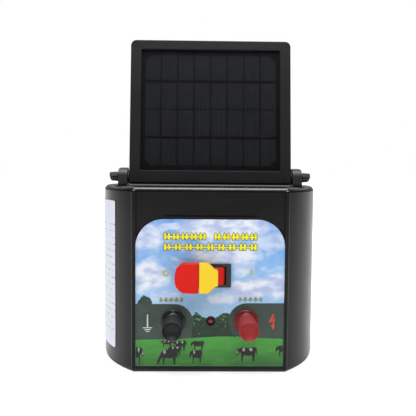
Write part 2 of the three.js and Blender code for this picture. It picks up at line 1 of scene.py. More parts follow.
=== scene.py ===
"""Looks of the solar fence energizer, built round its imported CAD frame. Lengths are in
millimetres below, and turned into metres when a mesh is made."""

import math

import bmesh
import bpy
from mathutils import Matrix, Vector


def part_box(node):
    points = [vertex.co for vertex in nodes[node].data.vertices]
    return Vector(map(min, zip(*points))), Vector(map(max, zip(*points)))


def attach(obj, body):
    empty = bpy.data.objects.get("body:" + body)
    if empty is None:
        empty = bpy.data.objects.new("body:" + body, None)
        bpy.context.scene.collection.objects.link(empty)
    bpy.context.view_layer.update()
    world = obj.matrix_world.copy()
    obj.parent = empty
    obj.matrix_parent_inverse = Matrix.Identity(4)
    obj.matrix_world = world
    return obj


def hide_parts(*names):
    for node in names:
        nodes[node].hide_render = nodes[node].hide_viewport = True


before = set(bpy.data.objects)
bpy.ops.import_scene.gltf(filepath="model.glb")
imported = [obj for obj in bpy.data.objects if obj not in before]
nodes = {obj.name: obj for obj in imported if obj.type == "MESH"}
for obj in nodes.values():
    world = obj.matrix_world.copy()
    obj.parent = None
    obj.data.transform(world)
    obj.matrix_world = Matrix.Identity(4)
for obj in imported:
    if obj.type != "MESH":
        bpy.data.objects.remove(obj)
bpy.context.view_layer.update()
MM = 0.001


def span(node):
    """Lowest and highest corner of a CAD node, in millimetres."""
    low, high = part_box(node)
    return Vector(low) / MM, Vector(high) / MM


def axis_of(node):
    """X and Z of the middle of a CAD node, which is its axis where it is round about Y."""
    low, high = span(node)
    return ((low.x + high.x) / 2, (low.z + high.z) / 2)


def numbered(stem, count):
    """The names of a node that comes in several copies."""
    return tuple(f"{stem}_{number}" for number in range(1, count + 1))


# ---- sizes read off the frame ----
front_low, front_high = span("housing_front")
label_low, label_high = span("front_label")
CASE_RADIUS = front_high.x
CASE_TOP = span("housing_rear")[1].z
CASE_DEPTH = span("housing_rear")[1].y
CASE_BOTTOM = front_low.z
SEAM_FRONT = front_high.y
SEAM_REAR = span("housing_rear")[0].y
LABEL_FRONT = label_low.y
SWITCH_Z = axis_of("switch_housing")[1]
CASE_ROUND = 5.0
WALL = 2.8
EDGE_SOFT = 0.35


# ---- outlines ----
def arc(centre, radius, start, end, steps, rise=None):
    """Points on an arc, angles in degrees. With a rise, it is an oval that much high."""
    if rise is None:
        rise = radius
    points = []
    for step in range(steps + 1):
        angle = math.radians(start + (end - start) * step / steps)
        points.append((centre[0] + radius * math.cos(angle), centre[1] + rise * math.sin(angle)))
    return points


def circle(centre, radius, points=36, start=0):
    return arc(centre, radius, start, start + 360 - 360 / points, points - 1)


def arch(half, low, high, corner, steps=24):
    """Straight foot and sides, round upper corners."""
    return (
        [(-half, low), (half, low)]
        + arc((half - corner, high - corner), corner, 0, 90, steps)
        + arc((-half + corner, high - corner), corner, 90, 180, steps)
    )


def strip(low, high):
    return [(low[0], low[1]), (high[0], low[1]), (high[0], high[1]), (low[0], high[1])]


def band(left, right, half):
    """A strip as high above the middle of the switch as below it."""
    return strip((left, SWITCH_Z - half), (right, SWITCH_Z + half))


def rounded_box(half, low, high, corner, steps=8):
    outline = []
    for centre_x, centre_z, start in (
        (half - corner, low + corner, -90),
        (half - corner, high - corner, 0),
        (-half + corner, high - corner, 90),
        (-half + corner, low + corner, 180),
    ):
        outline += arc((centre_x, centre_z), corner, start, start + 90, steps)
    return outline


def curve(start, control, end, steps=10):
    """A quadratic curve's points, its start left out."""
    points = []
    for step in range(1, steps + 1):
        t = step / steps
        points.append(tuple(
            (1 - t) ** 2 * a + 2 * t * (1 - t) * b + t * t * c for a, b, c in zip(start, control, end)
        ))
    return points


def case_outline(inset):
    """The case in plan: round sides, flat front and back."""
    radius = CASE_RADIUS - inset
    depth = CASE_DEPTH - inset
    corner = math.degrees(math.asin(depth / radius))
    return arc((0, 0), radius, -corner, corner, 56) + arc((0, 0), radius, 180 - corner, 180 + corner, 56)


# ---- meshes ----
def place(axis, u, v, along):
    """A point of an outline drawn square to an axis."""
    if axis == "x":
        return (along * MM, u * MM, v * MM)
    if axis == "y":
        return (u * MM, along * MM, v * MM)
    return (u * MM, v * MM, along * MM)


def ring(axis, outline, along):
    return [place(axis, u, v, along) for u, v in outline]


def walls(mesh, first, second):
    """Faces between two closed loops of vertices."""
    count = len(first)
    for index in range(count):
        after = (index + 1) % count
        mesh.faces.new((first[index], first[after], second[after], second[index]))


def plate(mesh, outline, start, end):
    """Adds a thin flat solid that reaches from one place along Y to another."""
    rows = [[mesh.verts.new(point) for point in ring("y", outline, y)] for y in (start, end)]
    walls(mesh, *rows)
    mesh.faces.new(rows[0])
    mesh.faces.new(rows[1])


def link(name, data):
    """An object in the scene from a mesh, light or camera."""
    linked = bpy.data.objects.new(name, data)
    bpy.context.scene.collection.objects.link(linked)
    return linked


def from_mesh(name, mesh):
    """An object from a mesh under construction, its faces turned outwards."""
    bmesh.ops.recalc_face_normals(mesh, faces=mesh.faces)
    data = bpy.data.meshes.new(name)
    mesh.to_mesh(data)
    mesh.free()
    return link(name, data)


def from_rings(name, rings, closed=False):
    """A closed solid through rings of points, with flat ends, or a loop of rings."""
    mesh = bmesh.new()
    rows = [[mesh.verts.new(point) for point in ring] for ring in rings]
    for low, high in zip(rows, rows[1:]):
        walls(mesh, low, high)
    if closed:
        walls(mesh, rows[-1], rows[0])
    else:
        mesh.faces.new(rows[0])
        mesh.faces.new(rows[-1])
    return from_mesh(name, mesh)


def prism(name, outline, axis, low, high):
    """An outline drawn along an axis."""
    return from_rings(name, [ring(axis, outline, low), ring(axis, outline, high)])


def turned(name, profile, centre, steps=96):
    """A solid turned about an axis along Y. The profile is a closed loop of (radius, y)."""
    rings = []
    for step in range(steps):
        angle = 2 * math.pi * step / steps
        rings.append([
            ((centre[0] + radius * math.cos(angle)) * MM, y * MM, (centre[1] + radius * math.sin(angle)) * MM)
            for radius, y in profile
        ])
    mesh_object = from_rings(name, rings, closed=True)
    weld(mesh_object)
    return mesh_object


def weld(mesh_object, distance=0.002):
    """Merges vertices that all but coincide."""
    mesh = bmesh.new()
    mesh.from_mesh(mesh_object.data)
    bmesh.ops.remove_doubles(mesh, verts=mesh.verts, dist=distance * MM)
    bmesh.ops.dissolve_degenerate(mesh, edges=mesh.edges, dist=distance * MM)
    bmesh.ops.recalc_face_normals(mesh, faces=mesh.faces)
    mesh.to_mesh(mesh_object.data)
    mesh.free()


def apply_modifiers(mesh_object):
    depsgraph = bpy.context.evaluated_depsgraph_get()
    mesh_object.data = bpy.data.meshes.new_from_object(mesh_object.evaluated_get(depsgraph))
    mesh_object.modifiers.clear()
    return mesh_object


def combine(target, other, operation):
    """Boolean of two solids; the second is used up."""
    modifier = target.modifiers.new(operation.lower(), "BOOLEAN")
    modifier.operation = operation
    modifier.solver = "EXACT"
    modifier.object = other
    apply_modifiers(target)
    bpy.data.objects.remove(other)
    return target


def cut(target, other):
    return combine(target, other, "DIFFERENCE")


def bore(target, outline, axis, low, high):
    """Cuts an outline out of a solid, from one place along an axis to another."""
    return cut(target, prism("cutter", outline, axis, low, high))


def join(target, other):
    return combine(target, other, "UNION")


def soften(mesh_object, width=EDGE_SOFT, segments=3, angle=32):
    """Rounds the edges sharper than an angle."""
    modifier = mesh_object.modifiers.new("soft_edges", "BEVEL")
    modifier.width = width * MM
    modifier.segments = segments
    modifier.limit_method = "ANGLE"
    modifier.angle_limit = math.radians(angle)
    modifier.miter_outer = "MITER_ARC"
    return mesh_object


def smooth(mesh_object, angle=35):
    """Smooth shading that leaves flat faces flat."""
    mesh_object.data.shade_smooth()
    mesh_object.data.set_sharp_from_angle(angle=math.radians(angle))
    modifier = mesh_object.modifiers.new("flat_normals", "WEIGHTED_NORMAL")
    modifier.keep_sharp = True
    return mesh_object


def piece(mesh_object, body, material, slot, *stands_for):
    """Gives a finished piece its material and body, and hides the CAD nodes that it stands for. The slot is
    not used.
    """
    mesh_object.data.materials.clear()
    mesh_object.data.materials.append(material)
    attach(mesh_object, body)
    if stands_for:
        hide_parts(*stands_for)
    return mesh_object


# ---- materials ----
class Nodes:
    """A node tree under construction. A value may be a number, a colour or another node's socket."""

    def __init__(self, tree, place):
        self.tree = tree
        self.place = place

    def node(self, kind, **settings):
        made = self.tree.nodes.new("ShaderNode" + kind)
        for name, value in settings.items():
            setattr(made, name, value)
        return made

    def put(self, socket, value):
        if isinstance(value, bpy.types.NodeSocket):
            self.tree.links.new(value, socket)
        elif isinstance(value, tuple) and len(value) == 3 and socket.type == "RGBA":
            socket.default_value = (*value, 1)
        else:
            socket.default_value = value

    def fill(self, node, **values):
        """Sets a node's inputs by name, with _ for a space."""
        for name, value in values.items():
            self.put(node.inputs[name.replace("_", " ")], value)

    def math(self, operation, first, second=0.0, third=0.0):
        node = self.node("Math", operation=operation)
        for socket, value in zip(node.inputs, (first, second, third)):
            self.put(socket, value)
        return node.outputs[0]

    def mix(self, factor, first, second):
        node = self.node("Mix", data_type="RGBA")
        self.fill(node, Factor=factor, A=first, B=second)
        return node.outputs["Result"]

    def ramp(self, value, low, high, to_low=0.0, to_high=1.0, steep=True):
        node = self.node("MapRange", interpolation_type="SMOOTHSTEP" if steep else "LINEAR")
        self.fill(node, Value=value, From_Min=low, From_Max=high, To_Min=to_low, To_Max=to_high)
        return node.outputs["Result"]

    def noise(self, size, detail=3.0, stretch=None, seed=0.0):
        """Noise whose features are about `size` millimetres across."""
        node = self.node("TexNoise", noise_dimensions="4D")
        source = self.place
        if stretch:
            squeezed = self.node("VectorMath", operation="MULTIPLY")
            squeezed.inputs[1].default_value = stretch
            self.put(squeezed.inputs[0], source)
            source = squeezed.outputs[0]
        self.fill(node, W=seed, Scale=1 / size, Detail=detail, Vector=source)
        return node.outputs["Fac"]

    def axes(self):
        node = self.node("SeparateXYZ")
        self.put(node.inputs[0], self.place)
        return node.outputs


class Paint(Nodes):
    """A procedural material under construction. Coordinates are the object's own, in millimetres."""

    def __init__(self, name, roughness=0.4, specular=0.5, metallic=0.0):
        self.material = bpy.data.materials.new(name)
        self.material.use_nodes = True
        super().__init__(self.material.node_tree, None)
        self.surface = self.tree.nodes["Principled BSDF"]
        self.set(Roughness=roughness, Specular_IOR_Level=specular, Metallic=metallic)
        scaled = self.node("VectorMath", operation="SCALE")
        self.fill(scaled, Scale=1 / MM)
        self.put(scaled.inputs[0], self.node("TexCoord").outputs["Object"])
        self.place = scaled.outputs[0]

    def set(self, **values):
        self.fill(self.surface, **values)

    def bump(self, height, depth):
        """Bumps `depth` millimetres high."""
        node = self.node("Bump")
        self.fill(node, Strength=1.0, Distance=depth * MM, Height=height)
        self.put(self.surface.inputs["Normal"], node.outputs[0])
        return self


def moulded(name, color, roughness=0.35, specular=0.5, grain=0.6, depth=0.01, variety=0.12):
    """Moulded plastic or rubber: fine grain, faint cloudiness and smudges in its gloss."""
    paint = Paint(name, specular=specular)
    cloud = paint.noise(22, 4)
    dark = tuple(channel * (1 - variety) for channel in color)
    light = tuple(channel * (1 + variety) for channel in color)
    smudge = paint.noise(35, 5, seed=3.0)
    paint.set(
        Base_Color=paint.mix(cloud, dark, light),
        Roughness=paint.ramp(smudge, 0.3, 0.7, roughness * 0.86, roughness * 1.14),
    )
    return paint.bump(paint.noise(grain, 2, seed=5.0), depth).material


def metal(name, color, roughness=0.32):
    """Plated or turned metal with fine brushing."""
    paint = Paint(name, metallic=1.0)
    brushed = paint.noise(0.5, 3, stretch=(1, 6, 1))
    tarnish = paint.noise(6, 4, seed=2.0)
    dull = tuple(channel * 0.75 for channel in color)
    paint.set(
        Base_Color=paint.mix(tarnish, dull, color),
        Roughness=paint.ramp(brushed, 0.3, 0.7, roughness * 0.7, roughness * 1.3),
    )
    return paint.bump(brushed, 0.004).material


def grooved(name, axis, half_pitch, edge, dark, light, depth, **shine):
    """Parallel grooves across an axis: the sheets of a transformer core, or turns of wire."""
    paint = Paint(name, **shine)
    groove = paint.ramp(paint.math("PINGPONG", paint.axes()[axis], half_pitch), *edge)
    paint.set(Base_Color=paint.mix(groove, dark, light))
    return paint.bump(groove, depth).material


def laminated():
    """Stacked steel sheets of a transformer core, and their dark lacquer."""
    dark, light = (0.015, 0.015, 0.017), (0.1, 0.1, 0.11)
    return grooved("core_laminations", "Y", 0.5, (0.04, 0.16), dark, light, 0.06, roughness=0.5, metallic=0.6)


def wound():
    """Lacquered copper wire laid in turns."""
    dark, light = (0.1, 0.03, 0.01), (0.5, 0.2, 0.07)
    return grooved("copper_turns", "Z", 0.35, (0.0, 0.2), dark, light, 0.15, roughness=0.35, metallic=0.7)


def circuit():
    """Green board with paler tracks."""
    paint = Paint("board_green", roughness=0.35)
    axes = paint.axes()
    row = paint.math("PINGPONG", paint.math("ADD", axes["Z"], paint.noise(18, 1)), 2.2)
    track = paint.ramp(row, 0.35, 0.5)
    paint.set(Base_Color=paint.mix(track, (0.05, 0.22, 0.08), (0.012, 0.09, 0.03)))
    return paint.bump(track, -0.03).material


# ---- label print ----
CLOUDS = (
    # x, z, half width, half height, weight
    (12, 134, 46, 13, 1.0), (-57, 125, 18, 12, 0.9), (-36, 134, 14, 4, 0.7), (14, 109, 34, 10, 0.9),
    (-57, 89, 21, 16, 1.0), (35, 79, 23, 12, 1.0), (61, 80, 15, 14, 1.0), (54, 120, 18, 9, 0.6),
    (30, 98, 9, 6, 0.7), (12, 68, 16, 6, 0.7), (-42, 70, 16, 5, 0.6), (-5, 100, 18, 6, 0.5),
)


def printed(name):
    return Paint(name, roughness=0.42, specular=0.35)


def sky_print():
    """Printed sky: blue with broken white clouds shaded lavender underneath."""
    paint = printed("printed_sky")
    axes = paint.axes()
    swirl = paint.math("SUBTRACT", paint.noise(17, 5, stretch=(1, 0, 1.3)), 0.5)
    swirl_other = paint.math("SUBTRACT", paint.noise(17, 5, stretch=(1, 0, 1.3), seed=7.0), 0.5)
    along = paint.math("MULTIPLY_ADD", swirl, 26.0, axes["X"])
    height = paint.math("MULTIPLY_ADD", swirl_other, 18.0, axes["Z"])
    cover = 0.0
    for x, z, half_width, half_height, weight in CLOUDS:
        across = paint.math("DIVIDE", paint.math("SUBTRACT", along, float(x)), float(half_width))
        upward = paint.math("DIVIDE", paint.math("SUBTRACT", height, float(z)), float(half_height))
        reach = paint.math("ADD", paint.math("POWER", across, 2.0), paint.math("POWER", upward, 2.0))
        puff = paint.ramp(reach, 1.25, 0.35, 0.0, weight)
        cover = paint.math("MAXIMUM", cover, puff)
    wisps = paint.ramp(paint.noise(11, 6, stretch=(1, 0, 1.6), seed=4.0), 0.5, 0.75, 0.0, 0.55)
    cover = paint.math("MAXIMUM", cover, wisps)
    shade = paint.ramp(paint.noise(14, 4, stretch=(1, 0, 1.8), seed=9.0), 0.35, 0.62)
    cloud = paint.mix(shade, (0.44, 0.52, 0.77), (0.79, 0.84, 0.92))
    blue_fade = paint.ramp(axes["Z"], 60.0, 135.0, steep=False)
    blue = paint.mix(blue_fade, (0.32, 0.58, 0.86), (0.13, 0.33, 0.74))
    mottle = paint.noise(9, 4, seed=12.0)
    blue = paint.mix(paint.ramp(mottle, 0.3, 0.7, 0.0, 0.35), blue, (0.45, 0.63, 0.88))
    paint.set(Base_Color=paint.mix(cover, blue, cloud))
    return paint.bump(paint.noise(0.5, 2), 0.002).material


def foliage_print(name, dark, light, size, foot, crown):
    """Printed leaves: light tufts on dark green, the light ones thinning out downwards."""
    paint = printed(name)
    threshold = paint.ramp(paint.axes()["Z"], foot, crown, 0.62, 0.46, steep=False)
    tufts = paint.ramp(paint.math("SUBTRACT", paint.noise(size, 6, stretch=(1, 0, 1)), threshold), 0.0, 0.14)
    broad = paint.noise(size * 4, 3, stretch=(1, 0, 1), seed=6.0)
    color = paint.mix(tufts, dark, light)
    paint.set(Base_Color=paint.mix(paint.ramp(broad, 0.35, 0.7, 0.0, 0.55), color, dark))
    return paint.material


def meadow_print():
    """Printed grass, brightest along its far edge."""
    paint = printed("printed_meadow")
    height = paint.axes()["Z"]
    near = paint.ramp(height, 8.0, 30.0, steep=False)
    grass = paint.mix(near, (0.035, 0.16, 0.03), (0.065, 0.34, 0.045))
    blades = paint.ramp(paint.noise(2.2, 6, stretch=(1, 0, 2.5)), 0.4, 0.7, 0.0, 0.45)
    broad = paint.ramp(paint.noise(16, 3, stretch=(1, 0, 3), seed=8.0), 0.4, 0.7, 0.0, 0.4)
    grass = paint.mix(blades, grass, (0.03, 0.13, 0.022))
    paint.set(Base_Color=paint.mix(broad, grass, (0.09, 0.36, 0.07)))
    return paint.material


def ink(name, color, other=None, size=2.5):
    """Printed ink with slight unevenness."""
    paint = printed(name)
    uneven = paint.ramp(paint.noise(size, 4, stretch=(1, 0, 1)), 0.35, 0.65)
    shaded = other or tuple(channel * 0.82 for channel in color)
    paint.set(Base_Color=paint.mix(uneven, shaded, color))
    return paint.material


def sticker_print():
    """White side sticker with rows of plain grey strokes in place of its small print."""
    paint = Paint("sticker_white", roughness=0.4, specular=0.4)
    axes = paint.axes()
    line_pitch = 6.4
    row = paint.math("PINGPONG", axes["Z"], line_pitch / 2)
    in_row = paint.ramp(row, 0.75, 0.6)
    words = paint.ramp(paint.noise(1.3, 2, stretch=(0.2, 0.8, 0.25), seed=2.0), 0.5, 0.56)
    mark = paint.math("MULTIPLY", in_row, words)
    inside = paint.math("MULTIPLY", paint.ramp(axes["Z"], 30.0, 31.0), paint.ramp(axes["Z"], 140.0, 139.0))
    mark = paint.math("MULTIPLY", mark, inside)
    paint.set(Base_Color=paint.mix(paint.math("MULTIPLY", mark, 0.55), (0.7, 0.72, 0.81), (0.2, 0.2, 0.24)))
    return paint.material


def cell_silicon():
    """Dark cells with fine upright finger lines, a little bluer than the backing."""
    paint = Paint("cell_silicon", roughness=0.45, specular=0.03)
    axes = paint.axes()
    fingers = paint.math("PINGPONG", axes["X"], 1.0)
    line = paint.ramp(fingers, 0.35, 0.65)
    cloud = paint.noise(12, 3)
    base = paint.mix(cloud, (0.0105, 0.0112, 0.0138), (0.012, 0.0128, 0.0156))
    paint.set(Base_Color=paint.mix(line, base, (0.0195, 0.0208, 0.0256)))
    return paint.material


def clear_cover(name, tint, alpha, roughness, specular=0.5):
    """A clear cover over something dark, with faint streaks in its gloss."""
    paint = Paint(name, specular=specular)
    streaks = paint.noise(9, 3, stretch=(1, 1, 0.3))
    paint.set(Base_Color=tint, Alpha=alpha,
              Roughness=paint.ramp(streaks, 0.3, 0.7, roughness * 0.7, roughness * 1.3))
    return paint.material


def case_plastic():
    """Glossy black case plastic, with a painted sheen: its colour is a little paler on the hinge ears above
    the top face.
    """
    paint = Paint("case_black", specular=0.2)
    # painted sheen: the ears above the top face get a paler colour in place of the light they catch, and a
    # rougher gloss
    ears = paint.ramp(paint.axes()["Z"], 171.5, 173.5)
    cloud = paint.noise(22, 4)
    body = paint.mix(cloud, (0.0031, 0.0031, 0.0035), (0.0039, 0.0039, 0.0045))
    gloss = paint.ramp(paint.noise(35, 5, seed=3.0), 0.3, 0.7, 0.2, 0.26)
    paint.set(
        Base_Color=paint.mix(ears, body, (0.016, 0.016, 0.017)),
        Roughness=paint.math("MAXIMUM", gloss, paint.math("MULTIPLY", ears, 0.48)),
    )
    return paint.bump(paint.noise(0.9, 2, seed=5.0), 0.003).material


case_black = case_plastic()
rubber_black = moulded("rubber_black", (0.012, 0.012, 0.012), roughness=0.75, specular=0.3)
base_black = moulded("base_black", (0.01, 0.01, 0.011), roughness=0.5)
steel = metal("plated_steel", (0.62, 0.63, 0.65))
brass = metal("brass", (0.72, 0.5, 0.2))


# ---- case ----
def case_solid(name, inset, top, rounding, foot):
    """The case's plan drawn upwards, its top edge rounded."""
    steps = 14
    rings = [ring("z", case_outline(inset), foot)]
    for step in range(steps + 1):
        turn = math.pi / 2 * step / steps
        drawn_in = inset + rounding * (1 - math.cos(turn))
        height = top - rounding + rounding * math.sin(turn)
        rings.append(ring("z", case_outline(drawn_in), height))
    return from_rings(name, rings)


def slab(name, low, high):
    return prism(name, strip(low, high), "z", low[2], high[2])


def case_shell(name):
    """The whole case, hollow and open below."""
    shell = case_solid(name, 0, CASE_TOP, CASE_ROUND, CASE_BOTTOM)
    return cut(shell, case_solid("inside", WALL, CASE_TOP - WALL, CASE_ROUND - WALL / 2, CASE_BOTTOM - 5))


hinge_low, hinge_high = span("hinge_insert_left")
HINGE_Y = (hinge_low.y + hinge_high.y) / 2
HINGE_Z = (hinge_low.z + hinge_high.z) / 2
EAR_OUTER = 88.8
EAR_INNER = 80.0
EAR_RADIUS = front_high.z - HINGE_Z
EAR_SOFTNESS = 3.0
RIDGE_X = 69.8
RIDGE_RADIUS = 2.4
PAD_FRONT = -CASE_DEPTH - 0.8
PAD_TOP = 145.6
LABEL_CORNER = 25.5
FRONT_HOLE = 5.2
SCREW_HOLE = 4.0
GROMMET_HOLE = 5.3
HINGE_HOLE = 2.6
SWITCH_HOLE_HALF = 17.0
SCREW_TIP_TO_HEAD = 23.0
KEYHOLE_X, KEYHOLE_Z, KEYHOLE_SLOT = 40.0, 120.0, 12.0
KEYHOLE_HEAD, KEYHOLE_NECK = 5.5, 2.6


def ear(side):
    """A hinge ear: half round seen from the side, its outer top edge rounded."""
    foot = CASE_TOP - 1
    spread = EAR_RADIUS + 1.2
    outline = [(HINGE_Y - spread, foot), (HINGE_Y + spread, foot)]
    outline += arc((HINGE_Y, HINGE_Z), EAR_RADIUS, 0, 180, 32)
    low, high = sorted((side * EAR_INNER, side * EAR_OUTER))
    solid = prism("ear", outline, "x", low, high)
    top = HINGE_Z + EAR_RADIUS
    front = [(EAR_INNER, foot - 1), (EAR_OUTER, foot - 1), (EAR_OUTER, top - EAR_SOFTNESS)]
    front += curve(front[-1], (EAR_OUTER, top), (EAR_OUTER - EAR_SOFTNESS, top), 8)
    front += [(EAR_INNER, top)]
    solid = combine(solid, prism("front", [(side * u, v) for u, v in front], "y", -100, 100), "INTERSECT")
    apply_modifiers(soften(solid, 0.9, 4, 40))
    return bore(solid, circle((HINGE_Y, HINGE_Z), HINGE_HOLE), "x", low - 5, high + 5)


def ridge(side):
    """Upright bead with a domed head."""
    crown = CASE_TOP - CASE_ROUND
    centre = (side * RIDGE_X, -CASE_DEPTH + 0.4)
    rings = []
    for scale, height in [(1.0, CASE_BOTTOM)] + arc((0, crown), 1, 0, 84, 7, rise=RIDGE_RADIUS):
        rings.append(ring("z", circle(centre, RIDGE_RADIUS * scale, 30), height))
    return from_rings("ridge", rings)


def front_holes():
    """Cutters for the terminals and the lamp, which pass through the front wall."""
    back, front = -CASE_DEPTH - 5, -CASE_DEPTH + 8
    holes = []
    for node in ("earth_stud", "fence_stud", "lamp_lens"):
        holes.append(prism("round_hole", circle(axis_of(node), FRONT_HOLE, 60), "y", back, front))
    return holes


def build_pad():
    """The raised arch round the label, its outer edge sloping back to the case."""
    half, corner, slope = RIDGE_X - 0.2, LABEL_CORNER + 3.9, 1.4
    rings = []
    for y, drawn_in in ((PAD_FRONT, slope), (-CASE_DEPTH, 0), (-CASE_DEPTH + 1, 0)):
        outline = arch(half - drawn_in, CASE_BOTTOM, PAD_TOP - drawn_in, corner - drawn_in, 32)
        rings.append(ring("y", outline, y))
    return from_rings("pad", rings)


def build_case_front():
    """The front shell with its ears, ridges and pad, and the holes for what passes through it."""
    shell = case_shell("case_front")
    shell = cut(shell, slab("rear_half", (-200, SEAM_FRONT, -50), (200, 200, 250)))
    for side in (-1, 1):
        shell = join(shell, ear(side))
        shell = join(shell, ridge(side))
    shell = join(shell, build_pad())
    recess = arch(label_high.x + 0.3, label_low.z - 0.3, label_high.z + 0.3, LABEL_CORNER, 32)
    bore(shell, recess, "y", -CASE_DEPTH - 5, -CASE_DEPTH + 0.6)
    groove = arch(RIDGE_X - 2.2, CASE_BOTTOM - 5, PAD_TOP - 2.0, LABEL_CORNER + 1.9, 32)
    bore(shell, groove, "y", -CASE_DEPTH - 5, PAD_FRONT + 0.45)
    low, high = span("switch_housing")
    bore(shell, band(-SWITCH_HOLE_HALF, SWITCH_HOLE_HALF, 10.2), "y", low.y, high.y)
    for hole in front_holes():
        cut(shell, hole)
    weld(shell)
    soften(shell, 0.2, 2)
    return smooth(shell)


def build_case_rear():
    """The rear shell with its screw holes, keyholes and grommet hole."""
    shell = case_shell("case_rear")
    shell = cut(shell, slab("front_half", (-200, -200, -50), (200, SEAM_REAR, 250)))
    for screw in numbered("case_screw", 4):
        head = span(screw)[0].y + SCREW_TIP_TO_HEAD
        bore(shell, circle(axis_of(screw), SCREW_HOLE), "y", head, CASE_DEPTH + 5)
    back_wall = ("y", CASE_DEPTH - 8, CASE_DEPTH + 5)
    turn = math.degrees(math.asin(KEYHOLE_NECK / KEYHOLE_HEAD))
    slot_top = KEYHOLE_Z + KEYHOLE_SLOT
    for x in (-KEYHOLE_X, KEYHOLE_X):
        outline = arc((x, KEYHOLE_Z), KEYHOLE_HEAD, 90 + turn, 450 - turn, 40)
        bore(shell, outline + [(x + KEYHOLE_NECK, slot_top), (x - KEYHOLE_NECK, slot_top)], *back_wall)
    bore(shell, circle(axis_of("cable_grommet"), GROMMET_HOLE), *back_wall)
    weld(shell)
    soften(shell, 0.3, 2)
    return smooth(shell)


piece(build_case_front(), "case", case_black, "case", "housing_front")
piece(build_case_rear(), "case", case_black, "case_rear", "housing_rear")


# ---- label art, printed on the label as thin sheets of ink ----
def print_shape(name, outlines, material, layer):
    """Flat printed shapes, each layer a little nearer the viewer."""
    thick, step = 0.03, 0.0025
    mesh = bmesh.new()
    for number, outline in enumerate(outlines):
        plate(mesh, outline, LABEL_FRONT + 0.02, LABEL_FRONT - thick * layer - step * number)
    return piece(from_mesh(name, mesh), "case", material, "label")


def bumpy(points, size, seed):
    """Breaks an outline into leafy bumps."""
    outline = []
    for index, (start, end) in enumerate(zip(points, points[1:] + points[:1])):
        a, b = Vector(start), Vector(end)
        steps = max(2, int((b - a).length / 0.5))
        across = Vector((-(b - a).y, (b - a).x)).normalized()
        for step in range(steps):
            t = step / steps
            wave = math.sin(seed + 9.1 * t * steps / 5) + 0.6 * math.sin(2.3 * seed + 5.7 * step)
            wave *= math.sin(math.pi * t)
            point = a.lerp(b, t) + across * wave * size
            outline.append((point.x, point.y))
        seed += 1.7 * (index + 1)
    return outline


BOARD = ((-0.5, 0.0), (0.5, 0.0), (0.5, 0.72), (0.0, 1.0), (-0.5, 0.72))


def fence_row(middles, z, board_width, height, grow=0.0):
    """Pointed boards on a rail, the ornament that stands where the front has its lettering."""
    shapes = []
    for middle in middles:
        shapes.append([
            (middle + u * (board_width + 2 * grow), z - grow + v * (height + 2 * grow)) for u, v in BOARD
        ])
    rail_half, reach, rail_z = 0.1 * height + grow, 0.5 * board_width + grow, z + 0.36 * height
    for left, right in zip(middles, middles[1:]):
        shapes.append(strip((left + reach, rail_z - rail_half), (right - reach, rail_z + rail_half)))
    return shapes


# A cow seen from the side, facing left, as fractions of its length, feet at 0.
COW = (
    (0.0, 0.34), (0.03, 0.28), (0.09, 0.3), (0.14, 0.4), (0.2, 0.42), (0.24, 0.33), (0.25, 0.14), (0.24, 0.0),
    (0.31, 0.0), (0.33, 0.2), (0.37, 0.28), (0.6, 0.25), (0.72, 0.29), (0.76, 0.16), (0.78, 0.0), (0.85, 0.0),
    (0.87, 0.2), (0.9, 0.36), (0.93, 0.5), (0.95, 0.3), (0.98, 0.3), (0.97, 0.56), (0.9, 0.66), (0.7, 0.64),
    (0.5, 0.62), (0.34, 0.66), (0.24, 0.64), (0.15, 0.58), (0.1, 0.62), (0.06, 0.55), (0.01, 0.46),
)
COW_GRAZING = (
    (0.0, 0.06), (0.03, 0.0), (0.09, 0.02), (0.14, 0.14), (0.22, 0.28), (0.27, 0.26), (0.28, 0.12),
    (0.27, 0.0), (0.34, 0.0), (0.36, 0.2), (0.4, 0.28), (0.62, 0.25), (0.73, 0.29), (0.77, 0.16), (0.79, 0.0),
    (0.86, 0.0), (0.88, 0.2), (0.91, 0.38), (0.95, 0.3), (0.99, 0.28), (0.98, 0.54), (0.92, 0.64),
    (0.72, 0.64), (0.5, 0.62), (0.34, 0.66), (0.24, 0.58), (0.14, 0.4), (0.07, 0.26), (0.02, 0.18),
)
PATCHES = (
    ((0.3, 0.62), (0.38, 0.64), (0.42, 0.52), (0.36, 0.44), (0.3, 0.5)),
    ((0.6, 0.6), (0.74, 0.62), (0.76, 0.5), (0.68, 0.46), (0.62, 0.52)),
    ((0.02, 0.42), (0.07, 0.5), (0.1, 0.42), (0.05, 0.34)),
)
HERD = (
    # left foot x, foot z, length, height, faces right, outline, patches shown
    (-34.5, 20.2, 13.5, 9.4, False, COW, 3), (-45.5, 23.6, 11.5, 6.2, False, COW, 3),
    (-38.5, 15.4, 13.0, 9.0, False, COW, 2), (-48.5, 6.9, 19.6, 14.6, False, COW_GRAZING, 1),
    (-17.4, 20.6, 12.8, 8.8, False, COW, 0), (-18.6, 7.9, 12.4, 13.2, False, COW, 1),
    (24.6, 10.2, 19.8, 13.4, False, COW, 3), (61.0, 14.8, 13.5, 10.5, False, COW, 0),
    (-73.5, 6.4, 12.6, 17.5, True, COW, 3),
)


def herd_shapes():
    """Outlines of the cows and of their pale patches, held inside the label's sides."""
    bodies, patches = [], []
    limit = label_high.x - 0.4
    for x, z, length, height, faces_right, outline, marks in HERD:
        tallest = max(v for u, v in outline)

        def spot(point):
            u = 1 - point[0] if faces_right else point[0]
            return (max(-limit, min(limit, x + u * length)), z + point[1] * height / tallest)
        bodies.append([spot(point) for point in outline])
        patches += [[spot(point) for point in patch] for patch in PATCHES[:marks]]
    return bodies, patches


BANK_TOP = 63.6
BANK_FOOT = 30.0
BANK_END = 15.4
BANK_TURN = 17.0
LABEL_LEFT = label_low.x + 0.1
LABEL_RIGHT = label_high.x - 0.1


